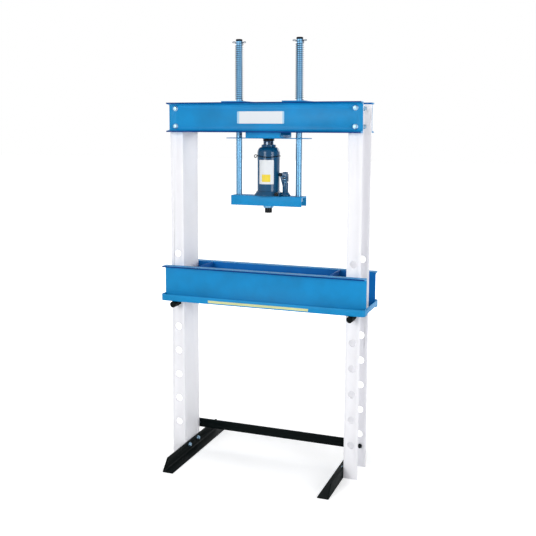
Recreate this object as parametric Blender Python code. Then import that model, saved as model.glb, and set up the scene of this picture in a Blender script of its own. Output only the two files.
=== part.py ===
"""Hydraulic shop press: a bolted frame of steel channels, a bottle jack on a bolster that two sprung
rods carry, and a bed that rests on two pins.

Metres, +Z up, +X to the right and -Y to the front. The origin is on the floor, under the middle of the
footprint.
"""

import math

import bmesh
import bpy
from mathutils import Matrix, Vector

for old in list(bpy.data.objects):
    bpy.data.objects.remove(old, do_unlink=True)

# Between pieces that are bolted, welded or seated together
SEAT_GAP = 0.0003

# How far holes and cuts are run past the faces they open, and the broken edge of turned pieces
CUT_REACH = 0.020
EDGE_BREAK = 0.001

# Uprights: channels with their webs facing each other
CLEAR_WIDTH = 0.684
UPRIGHT_DEPTH = 0.138
UPRIGHT_FLANGE = 0.056
UPRIGHT_WEB = 0.007
UPRIGHT_TOE = 0.006
UPRIGHT_ROOT = 0.008
UPRIGHT_HEIGHT = 1.450
HOLE_PITCH = 0.1016
HOLE_COUNT = 8
HOLE_DIAMETER = 0.029
FIRST_HOLE_HEIGHT = 0.136
HOLE_FROM_WEB = 0.028

# Top beam: a channel in front of the uprights and one behind, webs towards them
BEAM_HEIGHT = 0.116
BEAM_FLANGE = 0.0357
BEAM_WEB = 0.0067
BEAM_TOE = 0.005
BEAM_ROOT = 0.008
BEAM_RISE = 0.007
BEAM_BOLT_SPACING = 0.070

# Rolled fillet inside every channel
ROLLED_FILLET = 0.005

# Head that the jack pushes on, and the strap that guides the rods under it
HEAD_LENGTH = 0.142
HEAD_HEIGHT = 0.050
HEAD_WALL = 0.010
HEAD_DROP = 0.021
STRAP_BEYOND_RODS = 0.045
STRAP_WIDTH = 0.050
STRAP_THICKNESS = 0.003

# Guide plates that carry the springs on top of the beam
GUIDE_LENGTH = 0.090
GUIDE_DEPTH = 0.154
GUIDE_THICKNESS = 0.005

# Feet and the bar that ties the uprights together behind
FOOT_FRONT = 0.273
FOOT_BACK = 0.241
FOOT_HEIGHT = 0.046
FOOT_WIDTH = 0.044
FOOT_WALL = 0.005
FOOT_CHAMFER = 0.038
FOOT_BOLT_SPACING = 0.082
FOOT_BOLT_HEIGHT = 0.030
BAR_HEIGHT = 0.038
BAR_THICKNESS = 0.006
BAR_LIFT = 0.069
BAR_END_INSET = 0.003
BAR_BOLT_FROM_WEB = 0.033

# Hexagon bolts and nuts of the frame
BOLT_DIAMETER = 0.010
BOLT_FLATS = 0.016
BOLT_FLANGE_DIAMETER = 0.021
BOLT_FLANGE_THICKNESS = 0.0018
BOLT_HEAD_HEIGHT = 0.0065
NUT_HEIGHT = 0.008
BOLT_PROUD = 0.003
BOLT_HOLE_CLEARANCE = 0.0005

# Rods, their caps, washers and split pins
ROD_SPACING = 0.252
ROD_DIAMETER = 0.024
ROD_LENGTH = 0.6115
ROD_THREAD_DIAMETER = 0.020
ROD_RUNNING_GAP = 0.001
ROD_NUT_FLATS = 0.030
ROD_NUT_HEIGHT = 0.014
CAP_WALL = 0.0007
CAP_HEIGHT = 0.0085
CAP_TOP = 0.002
SPLIT_PIN_DIAMETER = 0.004
SPLIT_PIN_BELOW_TOP = 0.0105
SPLIT_PIN_REACH = 0.030
SPLIT_PIN_OPEN = 0.0035
WASHER_DIAMETER = 0.034
WASHER_THICKNESS = 0.002

# Return springs
SPRING_DIAMETER = 0.0328
SPRING_WIRE = 0.003
SPRING_CURLS = 28
POINTS_PER_CURL = 8

# Sides of round pieces: the tank, the other turned pieces, and pins, holes and small pieces
TANK_SIDES = 28
ROUND_SIDES = 20
SMALL_SIDES = 16
BOLT_SIDES = 12

# Bolster and the nose under it
BOLSTER_BEYOND_RODS = 0.022
BOLSTER_DEPTH = 0.066
BOLSTER_HEIGHT = 0.039
BOLSTER_WALL = 0.006
NOSE_COLLAR_DIAMETER = 0.041
NOSE_COLLAR_DROP = 0.009
NOSE_DIAMETER = 0.029
NOSE_LENGTH = 0.020
NOSE_SHANK_DIAMETER = 0.020
NOSE_SHANK_LENGTH = 0.030

# Bottle jack
JACK_HEIGHT = 0.2244
BASE_DIAMETER = 0.112
BASE_TOP_DIAMETER = 0.096
BASE_HEIGHT = 0.018
BASE_RIM = 0.004
TANK_DIAMETER = 0.089
TANK_WALL = 0.003
TANK_NECK_DROP = 0.0324
TANK_DOME = 0.015
CYLINDER_DIAMETER = 0.055
CYLINDER_BORE = 0.044
CYLINDER_SEAT_DEPTH = 0.006
NECK_NUT_DIAMETER = 0.058
NECK_NUT_HEIGHT = 0.009
RAM_DIAMETER = 0.042
RAM_RUNNING_GAP = 0.0005
RAM_FOOT = 0.031
PISTON_CUP_HEIGHT = 0.006
SADDLE_DIAMETER = 0.0455
SADDLE_HEIGHT = 0.008
WIPER_DIAMETER = 0.049
WIPER_HEIGHT = 0.0045
WIPER_DEPTH = 0.004
BAND_WIRE = 0.003
BAND_BELOW_SHOULDER = 0.022
BAND_EYE_RADIUS = 0.0055
BAND_EYE_POINTS = 9
BAND_EYE_TURN = 310.0
BAND_POINTS = 24
BAND_TURN = 329.0
BAND_RIPPLE = 0.0025

# Pump beside the tank
PUMP_OFFSET = 0.071
PUMP_BARREL_DIAMETER = 0.023
PUMP_BARREL_TOP = 0.054
PUMP_BOSS_DIAMETER = 0.042
PUMP_BOSS_TOP_DIAMETER = 0.030
PUMP_BOSS_HEIGHT = 0.014
BRIDGE_START = 0.030
BRIDGE_WIDTH = 0.036
BRIDGE_HEIGHT = 0.010
PLUNGER_DIAMETER = 0.012
PLUNGER_FOOT = 0.014
PLUNGER_BELOW = 0.002
PLUNGER_SIDE_GAP = 0.0008
PLUNGER_FLATS_BELOW = 0.0015
PIVOT_OFFSET = 0.017
PIVOT_HEIGHT = 0.084
PLUNGER_PIN_HEIGHT = 0.070
PLUNGER_PIN_DIAMETER = 0.005
PLUNGER_PIN_CLEARANCE = 0.0018
PLUNGER_CROWN = 0.003
PUMP_SWING = 30.0
SOCKET_DIAMETER = 0.020
SOCKET_BORE = 0.014
SOCKET_DEPTH = 0.014
SOCKET_FLOOR = 0.002
SOCKET_TOP = 0.095
CHEEK_BOTTOM = 0.056
CHEEK_TOP = 0.089
CHEEK_CORNER = 0.0035
CHEEK_INNER = 0.011
CHEEK_THICKNESS = 0.0045
LUG_THICKNESS = 0.0095
LUG_EYE_RADIUS = 0.0065
LUG_ROOT = 0.014
LUG_RISE = 0.004
LUG_FROM_PLUNGER = 0.0015
CHEEK_EYE_RADIUS = 0.008
PIVOT_PIN_DIAMETER = 0.006
PIVOT_PIN_PROUD = 0.002
PIVOT_HEAD_DIAMETER = 0.013
PIVOT_HEAD_HEIGHT = 0.004
VALVE_OFFSET = 0.050
VALVE_HEIGHT = 0.009
VALVE_BOSS_REACH = 0.042
VALVE_BOSS_HEIGHT = 0.015
VALVE_HEAD_DIAMETER = 0.016
VALVE_HEAD_LENGTH = 0.012
VALVE_STEM_DIAMETER = 0.009
VALVE_STEM_LENGTH = 0.018
VALVE_SLOT = 0.005
VALVE_SLOT_DEPTH = 0.0066

# Bed: a channel in front of the uprights and one behind, a skirt of angle iron and two cross plates
BED_OVERHANG = 0.025
BED_HEIGHT = 0.136
BED_FLANGE = 0.0392
BED_WEB = 0.0067
BED_TOE = 0.005
BED_ROOT = 0.009
SKIRT_HEIGHT = 0.026
SKIRT_WALL = 0.004
SKIRT_LEG = 0.038
SKIRT_LEG_THICKNESS = 0.005
SKIRT_CORNER_RADIUS = 0.016
CROSS_PLATE_OFFSET = 0.277
CROSS_PLATE_THICKNESS = 0.008
CROSS_PLATE_HEIGHT = 0.100
SUPPORT_HOLE_INDEX = 5
SUPPORT_PIN_DIAMETER = 0.025
SUPPORT_PIN_LENGTH = 0.240
SUPPORT_PIN_CHAMFER = 0.002

# Places that follow from the sizes above
WEB_FACE = CLEAR_WIDTH / 2
TOE_FACE = WEB_FACE + UPRIGHT_FLANGE
FLANGE_FACE = UPRIGHT_DEPTH / 2
HOLE_LINE = WEB_FACE + HOLE_FROM_WEB
WEB_PLANE = FLANGE_FACE + SEAT_GAP
BEAM_TOP = UPRIGHT_HEIGHT + BEAM_RISE
BEAM_BOTTOM = BEAM_TOP - BEAM_HEIGHT
BEAM_MIDDLE = (BEAM_TOP + BEAM_BOTTOM) / 2
HEAD_BOTTOM = BEAM_BOTTOM - HEAD_DROP
STRAP_TOP = HEAD_BOTTOM - SEAT_GAP
STRAP_BOTTOM = STRAP_TOP - STRAP_THICKNESS
JACK_TOP = STRAP_BOTTOM - SEAT_GAP
JACK_FOOT = JACK_TOP - JACK_HEIGHT
BOLSTER_TOP = JACK_FOOT - SEAT_GAP
BOLSTER_BOTTOM = BOLSTER_TOP - BOLSTER_HEIGHT
BOLSTER_ROOF = BOLSTER_TOP - BOLSTER_WALL
ROD_LINE = ROD_SPACING / 2
STRAP_LENGTH = ROD_SPACING + 2 * STRAP_BEYOND_RODS
BOLSTER_LENGTH = ROD_SPACING + 2 * BOLSTER_BEYOND_RODS
TANK_NECK = JACK_HEIGHT - TANK_NECK_DROP
TANK_SHOULDER = TANK_NECK - TANK_DOME
ROD_SHOULDER = BOLSTER_TOP + SEAT_GAP
ROD_TOP = ROD_SHOULDER + ROD_LENGTH
SPLIT_PIN_LINE = ROD_TOP - SPLIT_PIN_BELOW_TOP
WASHER_TOP = SPLIT_PIN_LINE - SPLIT_PIN_DIAMETER / 2 - SEAT_GAP
WASHER_BOTTOM = WASHER_TOP - WASHER_THICKNESS
GUIDE_TOP = BEAM_TOP + SEAT_GAP + GUIDE_THICKNESS
PIN_LINE = FIRST_HOLE_HEIGHT + SUPPORT_HOLE_INDEX * HOLE_PITCH
SKIRT_BOTTOM = PIN_LINE + SUPPORT_PIN_DIAMETER / 2 + SEAT_GAP
BED_BOTTOM = SKIRT_BOTTOM + SKIRT_LEG_THICKNESS + SEAT_GAP
BED_TOP = BED_BOTTOM + BED_HEIGHT
SKIRT_FACE = WEB_PLANE + BED_FLANGE + SEAT_GAP + SKIRT_WALL
BED_LENGTH = 2 * (TOE_FACE + BED_OVERHANG)
SKIRT_END = BED_LENGTH / 2 + SEAT_GAP + SKIRT_WALL

# Finishes: colour, roughness and metallic value
BLUE_PAINT = ((0.012, 0.262, 0.578), 0.45, 0.0)
WHITE_PAINT = ((0.83, 0.83, 0.86), 0.45, 0.0)
BLACK_PAINT = ((0.008, 0.010, 0.010), 0.45, 0.0)
JACK_PAINT = ((0.010, 0.085, 0.160), 0.35, 0.0)
BRIGHT_ZINC = ((0.78, 0.80, 0.82), 0.30, 1.0)
BRIGHT_STEEL = ((0.62, 0.68, 0.74), 0.22, 1.0)
SPRING_STEEL = ((0.060, 0.120, 0.200), 0.35, 0.7)
BLACK_STEEL = ((0.015, 0.016, 0.018), 0.35, 0.6)
RUBBER = ((0.015, 0.015, 0.016), 0.80, 0.0)


def carrier(name, place=(0.0, 0.0, 0.0), parent=None):
    """An empty on a moving group's axis; the group's pieces hang on it."""
    empty = bpy.data.objects.new(name, None)
    empty.location = place
    empty.parent = parent
    bpy.context.collection.objects.link(empty)
    bpy.context.view_layer.update()
    return empty


def paint(obj, finish):
    """Gives the piece its own material."""
    colour, roughness, metallic = finish
    material = bpy.data.materials.new(obj.name)
    material.use_nodes = True
    shader = material.node_tree.nodes["Principled BSDF"]
    shader.inputs["Base Color"].default_value = (*colour, 1.0)
    shader.inputs["Roughness"].default_value = roughness
    shader.inputs["Metallic"].default_value = metallic
    obj.data.materials.clear()
    obj.data.materials.append(material)


def piece(name, shape, finish, parent, round_piece=False):
    """Makes one named piece of a shape that is built where it stands."""
    bmesh.ops.translate(shape, verts=shape.verts, vec=-parent.location)
    mesh = bpy.data.meshes.new(name)
    shape.to_mesh(mesh)
    shape.free()
    if round_piece:
        mesh.shade_smooth()
        mesh.set_sharp_from_angle(angle=math.radians(35))
    obj = bpy.data.objects.new(name, mesh)
    obj.parent = parent
    bpy.context.collection.objects.link(obj)
    paint(obj, finish)
    bpy.context.view_layer.update()
    return obj


def shape_with(obj, other, operation):
    """Cuts a shape out of the piece, or joins it on, and keeps the result as the piece's own mesh."""
    mesh = bpy.data.meshes.new("tool")
    other.to_mesh(mesh)
    other.free()
    tool = bpy.data.objects.new("tool", mesh)
    bpy.context.collection.objects.link(tool)
    modifier = obj.modifiers.new("tool", "BOOLEAN")
    modifier.solver = "EXACT"
    modifier.operation = operation
    modifier.object = tool
    bpy.context.view_layer.update()
    evaluated = obj.evaluated_get(bpy.context.evaluated_depsgraph_get())
    result = bpy.data.meshes.new_from_object(evaluated)
    obj.modifiers.clear()
    obj.data = result
    bpy.data.objects.remove(tool, do_unlink=True)
    bpy.context.view_layer.update()


def cut(obj, other):
    shape_with(obj, other, "DIFFERENCE")


def join(obj, other):
    shape_with(obj, other, "UNION")


def combined(shapes):
    """Several separate shapes in one mesh."""
    whole = bmesh.new()
    for shape in shapes:
        mesh = bpy.data.meshes.new("copy")
        shape.to_mesh(mesh)
        shape.free()
        whole.from_mesh(mesh)
        bpy.data.meshes.remove(mesh)
    return whole


def block(low, high):
    """A box between two corners."""
    shape = bmesh.new()
    bmesh.ops.create_cube(shape, size=1.0)
    size = [top - bottom for bottom, top in zip(low, high)]
    middle = [(top + bottom) / 2 for bottom, top in zip(low, high)]
    bmesh.ops.scale(shape, verts=shape.verts, vec=size)
    bmesh.ops.translate(shape, verts=shape.verts, vec=middle)
    return shape


def prism(outline, u_axis, v_axis, start, end):
    """An outline drawn on two axes, run from start to end along the third."""
    u_axis = Vector(u_axis)
    v_axis = Vector(v_axis)
    along = Vector((1.0, 1.0, 1.0)) - Vector([abs(u) + abs(v) for u, v in zip(u_axis, v_axis)])
    shape = bmesh.new()
    corners = [shape.verts.new(u * u_axis + v * v_axis + start * along) for u, v in outline]
    face = shape.faces.new(corners)
    grown = bmesh.ops.extrude_face_region(shape, geom=[face])
    moved = [item for item in grown["geom"] if isinstance(item, bmesh.types.BMVert)]
    bmesh.ops.translate(shape, verts=moved, vec=(end - start) * along)
    bmesh.ops.recalc_face_normals(shape, faces=shape.faces)
    return shape


def turned(profile, steps, place, direction=(0.0, 0.0, 1.0)):
    """Turns points of radius and height about an axis; one that starts off the axis closes on itself."""
    shape = bmesh.new()
    points = [shape.verts.new((radius, 0.0, height)) for radius, height in profile]
    lines = [shape.edges.new(pair) for pair in zip(points, points[1:])]
    if profile[0][0] > 0.0:
        lines.append(shape.edges.new((points[-1], points[0])))
    bmesh.ops.spin(
        shape,
        geom=points + lines,
        cent=(0, 0, 0),
        axis=(0, 0, 1),
        angle=2 * math.pi,
        steps=steps,
        use_merge=True,
    )
    bmesh.ops.remove_doubles(shape, verts=shape.verts, dist=1e-6)
    bmesh.ops.recalc_face_normals(shape, faces=shape.faces)
    bmesh.ops.transform(shape, matrix=standing(place, direction), verts=shape.verts)
    return shape


def standing(place, direction):
    """The matrix that stands an upright shape at a place, its +Z along a direction."""
    turn = Vector((0.0, 0.0, 1.0)).rotation_difference(Vector(direction)).to_matrix().to_4x4()
    return Matrix.Translation(Vector(place)) @ turn


def rod_shape(radius, start, end, place, direction=(0.0, 0.0, 1.0), steps=ROUND_SIDES, chamfer=0.0):
    """A plain round bar between two heights along a direction."""
    if chamfer:
        profile = [
            (0.0, start),
            (radius - chamfer, start),
            (radius, start + chamfer),
            (radius, end - chamfer),
            (radius - chamfer, end),
            (0.0, end),
        ]
    else:
        profile = [(0.0, start), (radius, start), (radius, end), (0.0, end)]
    return turned(profile, steps, place, direction)


def ring_shape(inner, outer, start, end, place, direction=(0.0, 0.0, 1.0), steps=ROUND_SIDES):
    """A plain ring."""
    return turned([(inner, start), (outer, start), (outer, end), (inner, end)], steps, place, direction)


def hexagon_ring(shape, flats, height):
    """Twelve points on a hexagon: its corners and the middles of its flats."""
    points = []
    for step in range(12):
        angle = step * math.pi / 6
        reach = flats / 2 if step % 2 else flats / 2 / math.cos(math.pi / 6)
        points.append(shape.verts.new((reach * math.cos(angle), reach * math.sin(angle), height)))
    return points


def round_ring(shape, radius, height):
    """Twelve points on a circle."""
    angles = [step * math.pi / 6 for step in range(12)]
    return [shape.verts.new((radius * math.cos(a), radius * math.sin(a), height)) for a in angles]


def skin(shape, rings, closed):
    """Joins rings of twelve points by faces; a closed skin comes back to its first ring, else it has caps."""
    pairs = list(zip(rings, rings[1:]))
    if closed:
        pairs.append((rings[-1], rings[0]))
    else:
        shape.faces.new(rings[0])
        shape.faces.new(rings[-1])
    for below, above in pairs:
        for step in range(12):
            following = (step + 1) % 12
            shape.faces.new((below[step], below[following], above[following], above[step]))
    bmesh.ops.recalc_face_normals(shape, faces=shape.faces)


def bolt(place, direction, grip):
    """A flanged hexagon bolt with its nut run up tight; the head is seated at a place and looks one way."""
    shape = bmesh.new()
    radius = BOLT_DIAMETER / 2
    nut_seat = -grip
    nut_end = nut_seat - NUT_HEIGHT
    rings = [
        round_ring(shape, radius * 0.9, nut_end - BOLT_PROUD),
        round_ring(shape, radius, nut_end),
        hexagon_ring(shape, BOLT_FLATS, nut_end),
        hexagon_ring(shape, BOLT_FLATS, nut_seat),
        round_ring(shape, radius, nut_seat),
        round_ring(shape, radius, 0.0),
        round_ring(shape, BOLT_FLANGE_DIAMETER / 2, 0.0),
        round_ring(shape, BOLT_FLANGE_DIAMETER / 2, BOLT_FLANGE_THICKNESS),
        hexagon_ring(shape, BOLT_FLATS, BOLT_FLANGE_THICKNESS),
        hexagon_ring(shape, BOLT_FLATS, BOLT_FLANGE_THICKNESS + BOLT_HEAD_HEIGHT),
    ]
    skin(shape, rings, closed=False)
    bmesh.ops.transform(shape, matrix=standing(place, direction), verts=shape.verts)
    return shape


def nut(place, direction, bore, flats, height):
    """A hexagon nut seated at a place and standing along a direction."""
    shape = bmesh.new()
    radius = (bore / 2 + SEAT_GAP) / math.cos(math.pi / 12)
    rings = [
        round_ring(shape, radius, 0.0),
        hexagon_ring(shape, flats, 0.0),
        hexagon_ring(shape, flats, height),
        round_ring(shape, radius, height),
    ]
    skin(shape, rings, closed=True)
    bmesh.ops.transform(shape, matrix=standing(place, direction), verts=shape.verts)
    return shape


def hole(radius, place, direction, steps=SMALL_SIDES):
    """A cutter for a hole, run both ways from a place."""
    return rod_shape(radius, -CUT_REACH, CUT_REACH, place, direction, steps=steps)


def bolt_hole(place, direction):
    """A cutter for a frame bolt's hole."""
    return hole(BOLT_DIAMETER / 2 + BOLT_HOLE_CLEARANCE, place, direction, BOLT_SIDES)


def channel_outline(depth, flange, web, toe, root):
    """A rolled channel: its back on v = 0 and its flanges towards +v, with a fillet at each root."""
    half = depth / 2
    corner = (half - root - ROLLED_FILLET, web + ROLLED_FILLET)
    upper = [(half, 0.0), (half, flange), (half - toe * 0.6, flange), (half - toe, flange - toe * 0.5)]
    for step in range(4):
        angle = -step * math.pi / 6
        across = corner[0] + ROLLED_FILLET * math.cos(angle)
        upper.append((across, corner[1] + ROLLED_FILLET * math.sin(angle)))
    lower = [(-u, v) for u, v in reversed(upper)]
    return upper + lower


def shifted(outline, v_shift, v_sign=1.0):
    return [(u, v_shift + v_sign * v) for u, v in outline]


frame = carrier("frame_origin")

# Uprights
upright_section = channel_outline(UPRIGHT_DEPTH, UPRIGHT_FLANGE, UPRIGHT_WEB, UPRIGHT_TOE, UPRIGHT_ROOT)
hole_heights = [FIRST_HOLE_HEIGHT + row * HOLE_PITCH for row in range(HOLE_COUNT)]
beam_bolt_heights = [BEAM_MIDDLE - BEAM_BOLT_SPACING / 2, BEAM_MIDDLE + BEAM_BOLT_SPACING / 2]
foot_bolt_places = [-FOOT_BOLT_SPACING / 2, FOOT_BOLT_SPACING / 2]
BAR_BOLT_LINE = WEB_FACE + BAR_BOLT_FROM_WEB
BAR_MIDDLE = BAR_LIFT + BAR_HEIGHT / 2
for name, side in (("upright_left", -1.0), ("upright_right", 1.0)):
    section = prism(shifted(upright_section, WEB_FACE), (0, 1, 0), (side, 0, 0), 0.0, UPRIGHT_HEIGHT)
    upright = piece(name, section, WHITE_PAINT, frame)
    holes = []
    for height in hole_heights:
        for face in (-1.0, 1.0):
            centre = (side * HOLE_LINE, face * FLANGE_FACE, height)
            holes.append(hole(HOLE_DIAMETER / 2, centre, (0, 1, 0)))
    for height in beam_bolt_heights:
        for face in (-1.0, 1.0):
            holes.append(bolt_hole((side * HOLE_LINE, face * FLANGE_FACE, height), (0, 1, 0)))
    for depth in foot_bolt_places:
        holes.append(bolt_hole((side * WEB_FACE, depth, FOOT_BOLT_HEIGHT), (1, 0, 0)))
    holes.append(bolt_hole((side * BAR_BOLT_LINE, FLANGE_FACE, BAR_MIDDLE), (0, 1, 0)))
    cut(upright, combined(holes))

# Top beam
beam_section = channel_outline(BEAM_HEIGHT, BEAM_FLANGE, BEAM_WEB, BEAM_TOE, BEAM_ROOT)
beam_points = [(u + BEAM_MIDDLE, v) for u, v in beam_section]
bolt_seat = WEB_PLANE + BEAM_WEB + SEAT_GAP
bolt_grip = bolt_seat - (FLANGE_FACE - UPRIGHT_ROOT - SEAT_GAP)
for name, side in (("top_beam_front", -1.0), ("top_beam_rear", 1.0)):
    section = prism(shifted(beam_points, WEB_PLANE), (0, 0, 1), (0, side, 0), -TOE_FACE, TOE_FACE)
    beam = piece(name, section, BLUE_PAINT, frame)
    holes = []
    for hand, end in (("left", -1.0), ("right", 1.0)):
        for row, height in zip(("low", "high"), beam_bolt_heights):
            holes.append(bolt_hole((end * HOLE_LINE, side * WEB_PLANE, height), (0, 1, 0)))
            beam_bolt = bolt((end * HOLE_LINE, side * bolt_seat, height), (0, side, 0), bolt_grip)
            piece(f"{name}_bolt_{hand}_{row}", beam_bolt, BRIGHT_ZINC, frame)
    cut(beam, combined(holes))

# Head channel, strap and guide plates
head_half_depth = WEB_PLANE - SEAT_GAP
head_section = channel_outline(2 * head_half_depth, HEAD_HEIGHT, HEAD_WALL, HEAD_WALL, HEAD_WALL)
head = prism(shifted(head_section, HEAD_BOTTOM), (0, 1, 0), (0, 0, 1), -HEAD_LENGTH / 2, HEAD_LENGTH / 2)
piece("head_channel", head, BLUE_PAINT, frame)
strap = piece(
    "rod_guide_strap",
    block(
        (-STRAP_LENGTH / 2, -STRAP_WIDTH / 2, STRAP_BOTTOM),
        (STRAP_LENGTH / 2, STRAP_WIDTH / 2, STRAP_TOP),
    ),
    BLUE_PAINT,
    frame,
)
rod_hole = ROD_DIAMETER / 2 + ROD_RUNNING_GAP
strap_holes = [hole(rod_hole, (side * ROD_LINE, 0, STRAP_TOP), (0, 0, 1), ROUND_SIDES) for side in (-1, 1)]
cut(strap, combined(strap_holes))
for name, side in (("guide_plate_left", -1.0), ("guide_plate_right", 1.0)):
    low = (side * ROD_LINE - GUIDE_LENGTH / 2, -GUIDE_DEPTH / 2, BEAM_TOP + SEAT_GAP)
    high = (side * ROD_LINE + GUIDE_LENGTH / 2, GUIDE_DEPTH / 2, GUIDE_TOP)
    plate = piece(name, block(low, high), BLUE_PAINT, frame)
    cut(plate, hole(rod_hole, (side * ROD_LINE, 0, GUIDE_TOP), (0, 0, 1), ROUND_SIDES))

# Feet
for name, side in (("foot_left", -1.0), ("foot_right", 1.0)):
    outer = WEB_FACE - SEAT_GAP
    angle_section = [
        (outer, 0.0),
        (outer, FOOT_HEIGHT),
        (outer - FOOT_WALL, FOOT_HEIGHT),
        (outer - FOOT_WALL, FOOT_WALL * 1.6),
        (outer - FOOT_WALL * 1.6, FOOT_WALL),
        (outer - FOOT_WIDTH, FOOT_WALL),
        (outer - FOOT_WIDTH, 0.0),
    ]
    angle_iron = prism(angle_section, (side, 0, 0), (0, 0, 1), -FOOT_FRONT, FOOT_BACK)
    foot = piece(name, angle_iron, BLACK_PAINT, frame)
    nose = [
        (-FOOT_FRONT - CUT_REACH, FOOT_WALL),
        (-FOOT_FRONT, FOOT_WALL),
        (-FOOT_FRONT + FOOT_CHAMFER, FOOT_HEIGHT),
        (-FOOT_FRONT + FOOT_CHAMFER, FOOT_HEIGHT + CUT_REACH),
        (-FOOT_FRONT - CUT_REACH, FOOT_HEIGHT + CUT_REACH),
    ]
    cut(foot, prism(nose, (0, 1, 0), (0, 0, 1), -WEB_FACE - CUT_REACH, WEB_FACE + CUT_REACH))
    holes = []
    for depth in foot_bolt_places:
        holes.append(bolt_hole((side * outer, depth, FOOT_BOLT_HEIGHT), (1, 0, 0)))
    cut(foot, combined(holes))

# Rear cross bar
bar_half = TOE_FACE - BAR_END_INSET
bar = piece(
    "rear_cross_bar",
    block((-bar_half, WEB_PLANE, BAR_LIFT), (bar_half, WEB_PLANE + BAR_THICKNESS, BAR_LIFT + BAR_HEIGHT)),
    BLACK_PAINT,
    frame,
)
bar_holes = [bolt_hole((side * BAR_BOLT_LINE, WEB_PLANE, BAR_MIDDLE), (0, 1, 0)) for side in (-1, 1)]
cut(bar, combined(bar_holes))

# Jack ram, its cup and its saddle: these stay against the head while the jack's body goes down
jack_axis = (0.0, 0.0, JACK_FOOT)
saddle_foot = JACK_HEIGHT - SADDLE_HEIGHT
ram_top = saddle_foot - SEAT_GAP
piece(
    "jack_ram",
    rod_shape(RAM_DIAMETER / 2, RAM_FOOT, ram_top, jack_axis, chamfer=EDGE_BREAK),
    BLACK_STEEL,
    frame,
    round_piece=True,
)
saddle_profile = [
    (0.0, saddle_foot),
    (SADDLE_DIAMETER / 2 - EDGE_BREAK, saddle_foot),
    (SADDLE_DIAMETER / 2, saddle_foot + EDGE_BREAK),
    (SADDLE_DIAMETER / 2, JACK_HEIGHT - EDGE_BREAK),
    (SADDLE_DIAMETER / 2 - EDGE_BREAK, JACK_HEIGHT),
    (0.0, JACK_HEIGHT),
]
piece("jack_saddle", turned(saddle_profile, ROUND_SIDES, jack_axis), BLACK_STEEL, frame, round_piece=True)
cup_radius = CYLINDER_BORE / 2 - SEAT_GAP
cup_top = RAM_FOOT - SEAT_GAP
piece(
    "piston_cup",
    rod_shape(cup_radius, cup_top - PISTON_CUP_HEIGHT, cup_top, jack_axis),
    RUBBER,
    frame,
    round_piece=True,
)

# Bolster with its rods and nuts
carriage = carrier("carriage_slide", (0.0, 0.0, BOLSTER_TOP), frame)
bolster_section = channel_outline(BOLSTER_DEPTH, BOLSTER_HEIGHT, BOLSTER_WALL, BOLSTER_WALL, BOLSTER_WALL)
bolster_points = shifted(bolster_section, BOLSTER_TOP, -1.0)
bolster_channel = prism(bolster_points, (0, 1, 0), (0, 0, 1), -BOLSTER_LENGTH / 2, BOLSTER_LENGTH / 2)
bolster = piece("bolster", bolster_channel, BLUE_PAINT, carriage)
thread_radius = ROD_THREAD_DIAMETER / 2
thread_hole = thread_radius + SEAT_GAP
thread_places = [(side * ROD_LINE, 0, BOLSTER_TOP) for side in (-1, 1)]
cut(bolster, combined([hole(thread_hole, place, (0, 0, 1), ROUND_SIDES) for place in thread_places]))
rod_nut_top = BOLSTER_ROOF - SEAT_GAP
rod_foot = rod_nut_top - ROD_NUT_HEIGHT - BOLT_PROUD
rod_radius = ROD_DIAMETER / 2
rod_profile = [
    (0.0, rod_foot),
    (thread_radius - EDGE_BREAK, rod_foot),
    (thread_radius, rod_foot + EDGE_BREAK),
    (thread_radius, ROD_SHOULDER),
    (rod_radius, ROD_SHOULDER),
    (rod_radius, ROD_TOP - EDGE_BREAK),
    (rod_radius - EDGE_BREAK, ROD_TOP),
    (0.0, ROD_TOP),
]
cap_inner = rod_radius + SEAT_GAP
cap_outer = cap_inner + CAP_WALL
cap_roof = ROD_TOP + SEAT_GAP
cap_rim = cap_roof + CAP_TOP - CAP_HEIGHT
cap_profile = [
    (0.0, cap_roof),
    (cap_inner, cap_roof),
    (cap_inner, cap_rim),
    (cap_outer, cap_rim),
    (cap_outer, cap_roof + CAP_TOP - EDGE_BREAK),
    (cap_outer - EDGE_BREAK, cap_roof + CAP_TOP),
    (0.0, cap_roof + CAP_TOP),
]


def tube(name, points, wire, finish, parent, smooth=True):
    """A round wire bent along points, with flat ends."""
    curve = bpy.data.curves.new(name, "CURVE")
    curve.dimensions = "3D"
    curve.bevel_depth = wire / 2
    curve.bevel_resolution = 1
    curve.use_fill_caps = True
    spline = curve.splines.new("POLY")
    spline.points.add(len(points) - 1)
    for target, point in zip(spline.points, points):
        target.co = (*(Vector(point) - parent.location), 1.0)
    spline.use_smooth = smooth
    obj = bpy.data.objects.new(name, curve)
    obj.parent = parent
    bpy.context.collection.objects.link(obj)
    paint(obj, finish)
    return obj


def spring_points(axis_x, bottom, top):
    """A coil between two heights; each end turns up or down and meets its seat square."""
    radius = (SPRING_DIAMETER - SPRING_WIRE) / 2
    lift = 2 * SPRING_WIRE
    around = 2 * math.pi * radius
    rise = top - bottom - 2 * lift
    bend = [SPRING_WIRE * (1 - math.cos(math.radians(a))) for a in (0, 30, 60, 90)]
    climb = [SPRING_WIRE + SPRING_WIRE * math.sin(math.radians(a)) for a in (0, 30, 60, 90)]
    unrolled = [(0.0, 0.0)] + list(zip(bend, climb))
    steps = SPRING_CURLS * POINTS_PER_CURL
    for step in range(1, steps):
        share = step / steps
        unrolled.append((SPRING_WIRE + share * SPRING_CURLS * around, lift + share * rise))
    last = 2 * SPRING_WIRE + SPRING_CURLS * around
    height = top - bottom
    unrolled += [(last - s, height - z) for s, z in reversed([(0.0, 0.0)] + list(zip(bend, climb)))]
    points = []
    for run, height in unrolled:
        angle = run / radius
        points.append((axis_x + radius * math.cos(angle), radius * math.sin(angle), bottom + height))
    return points


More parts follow.
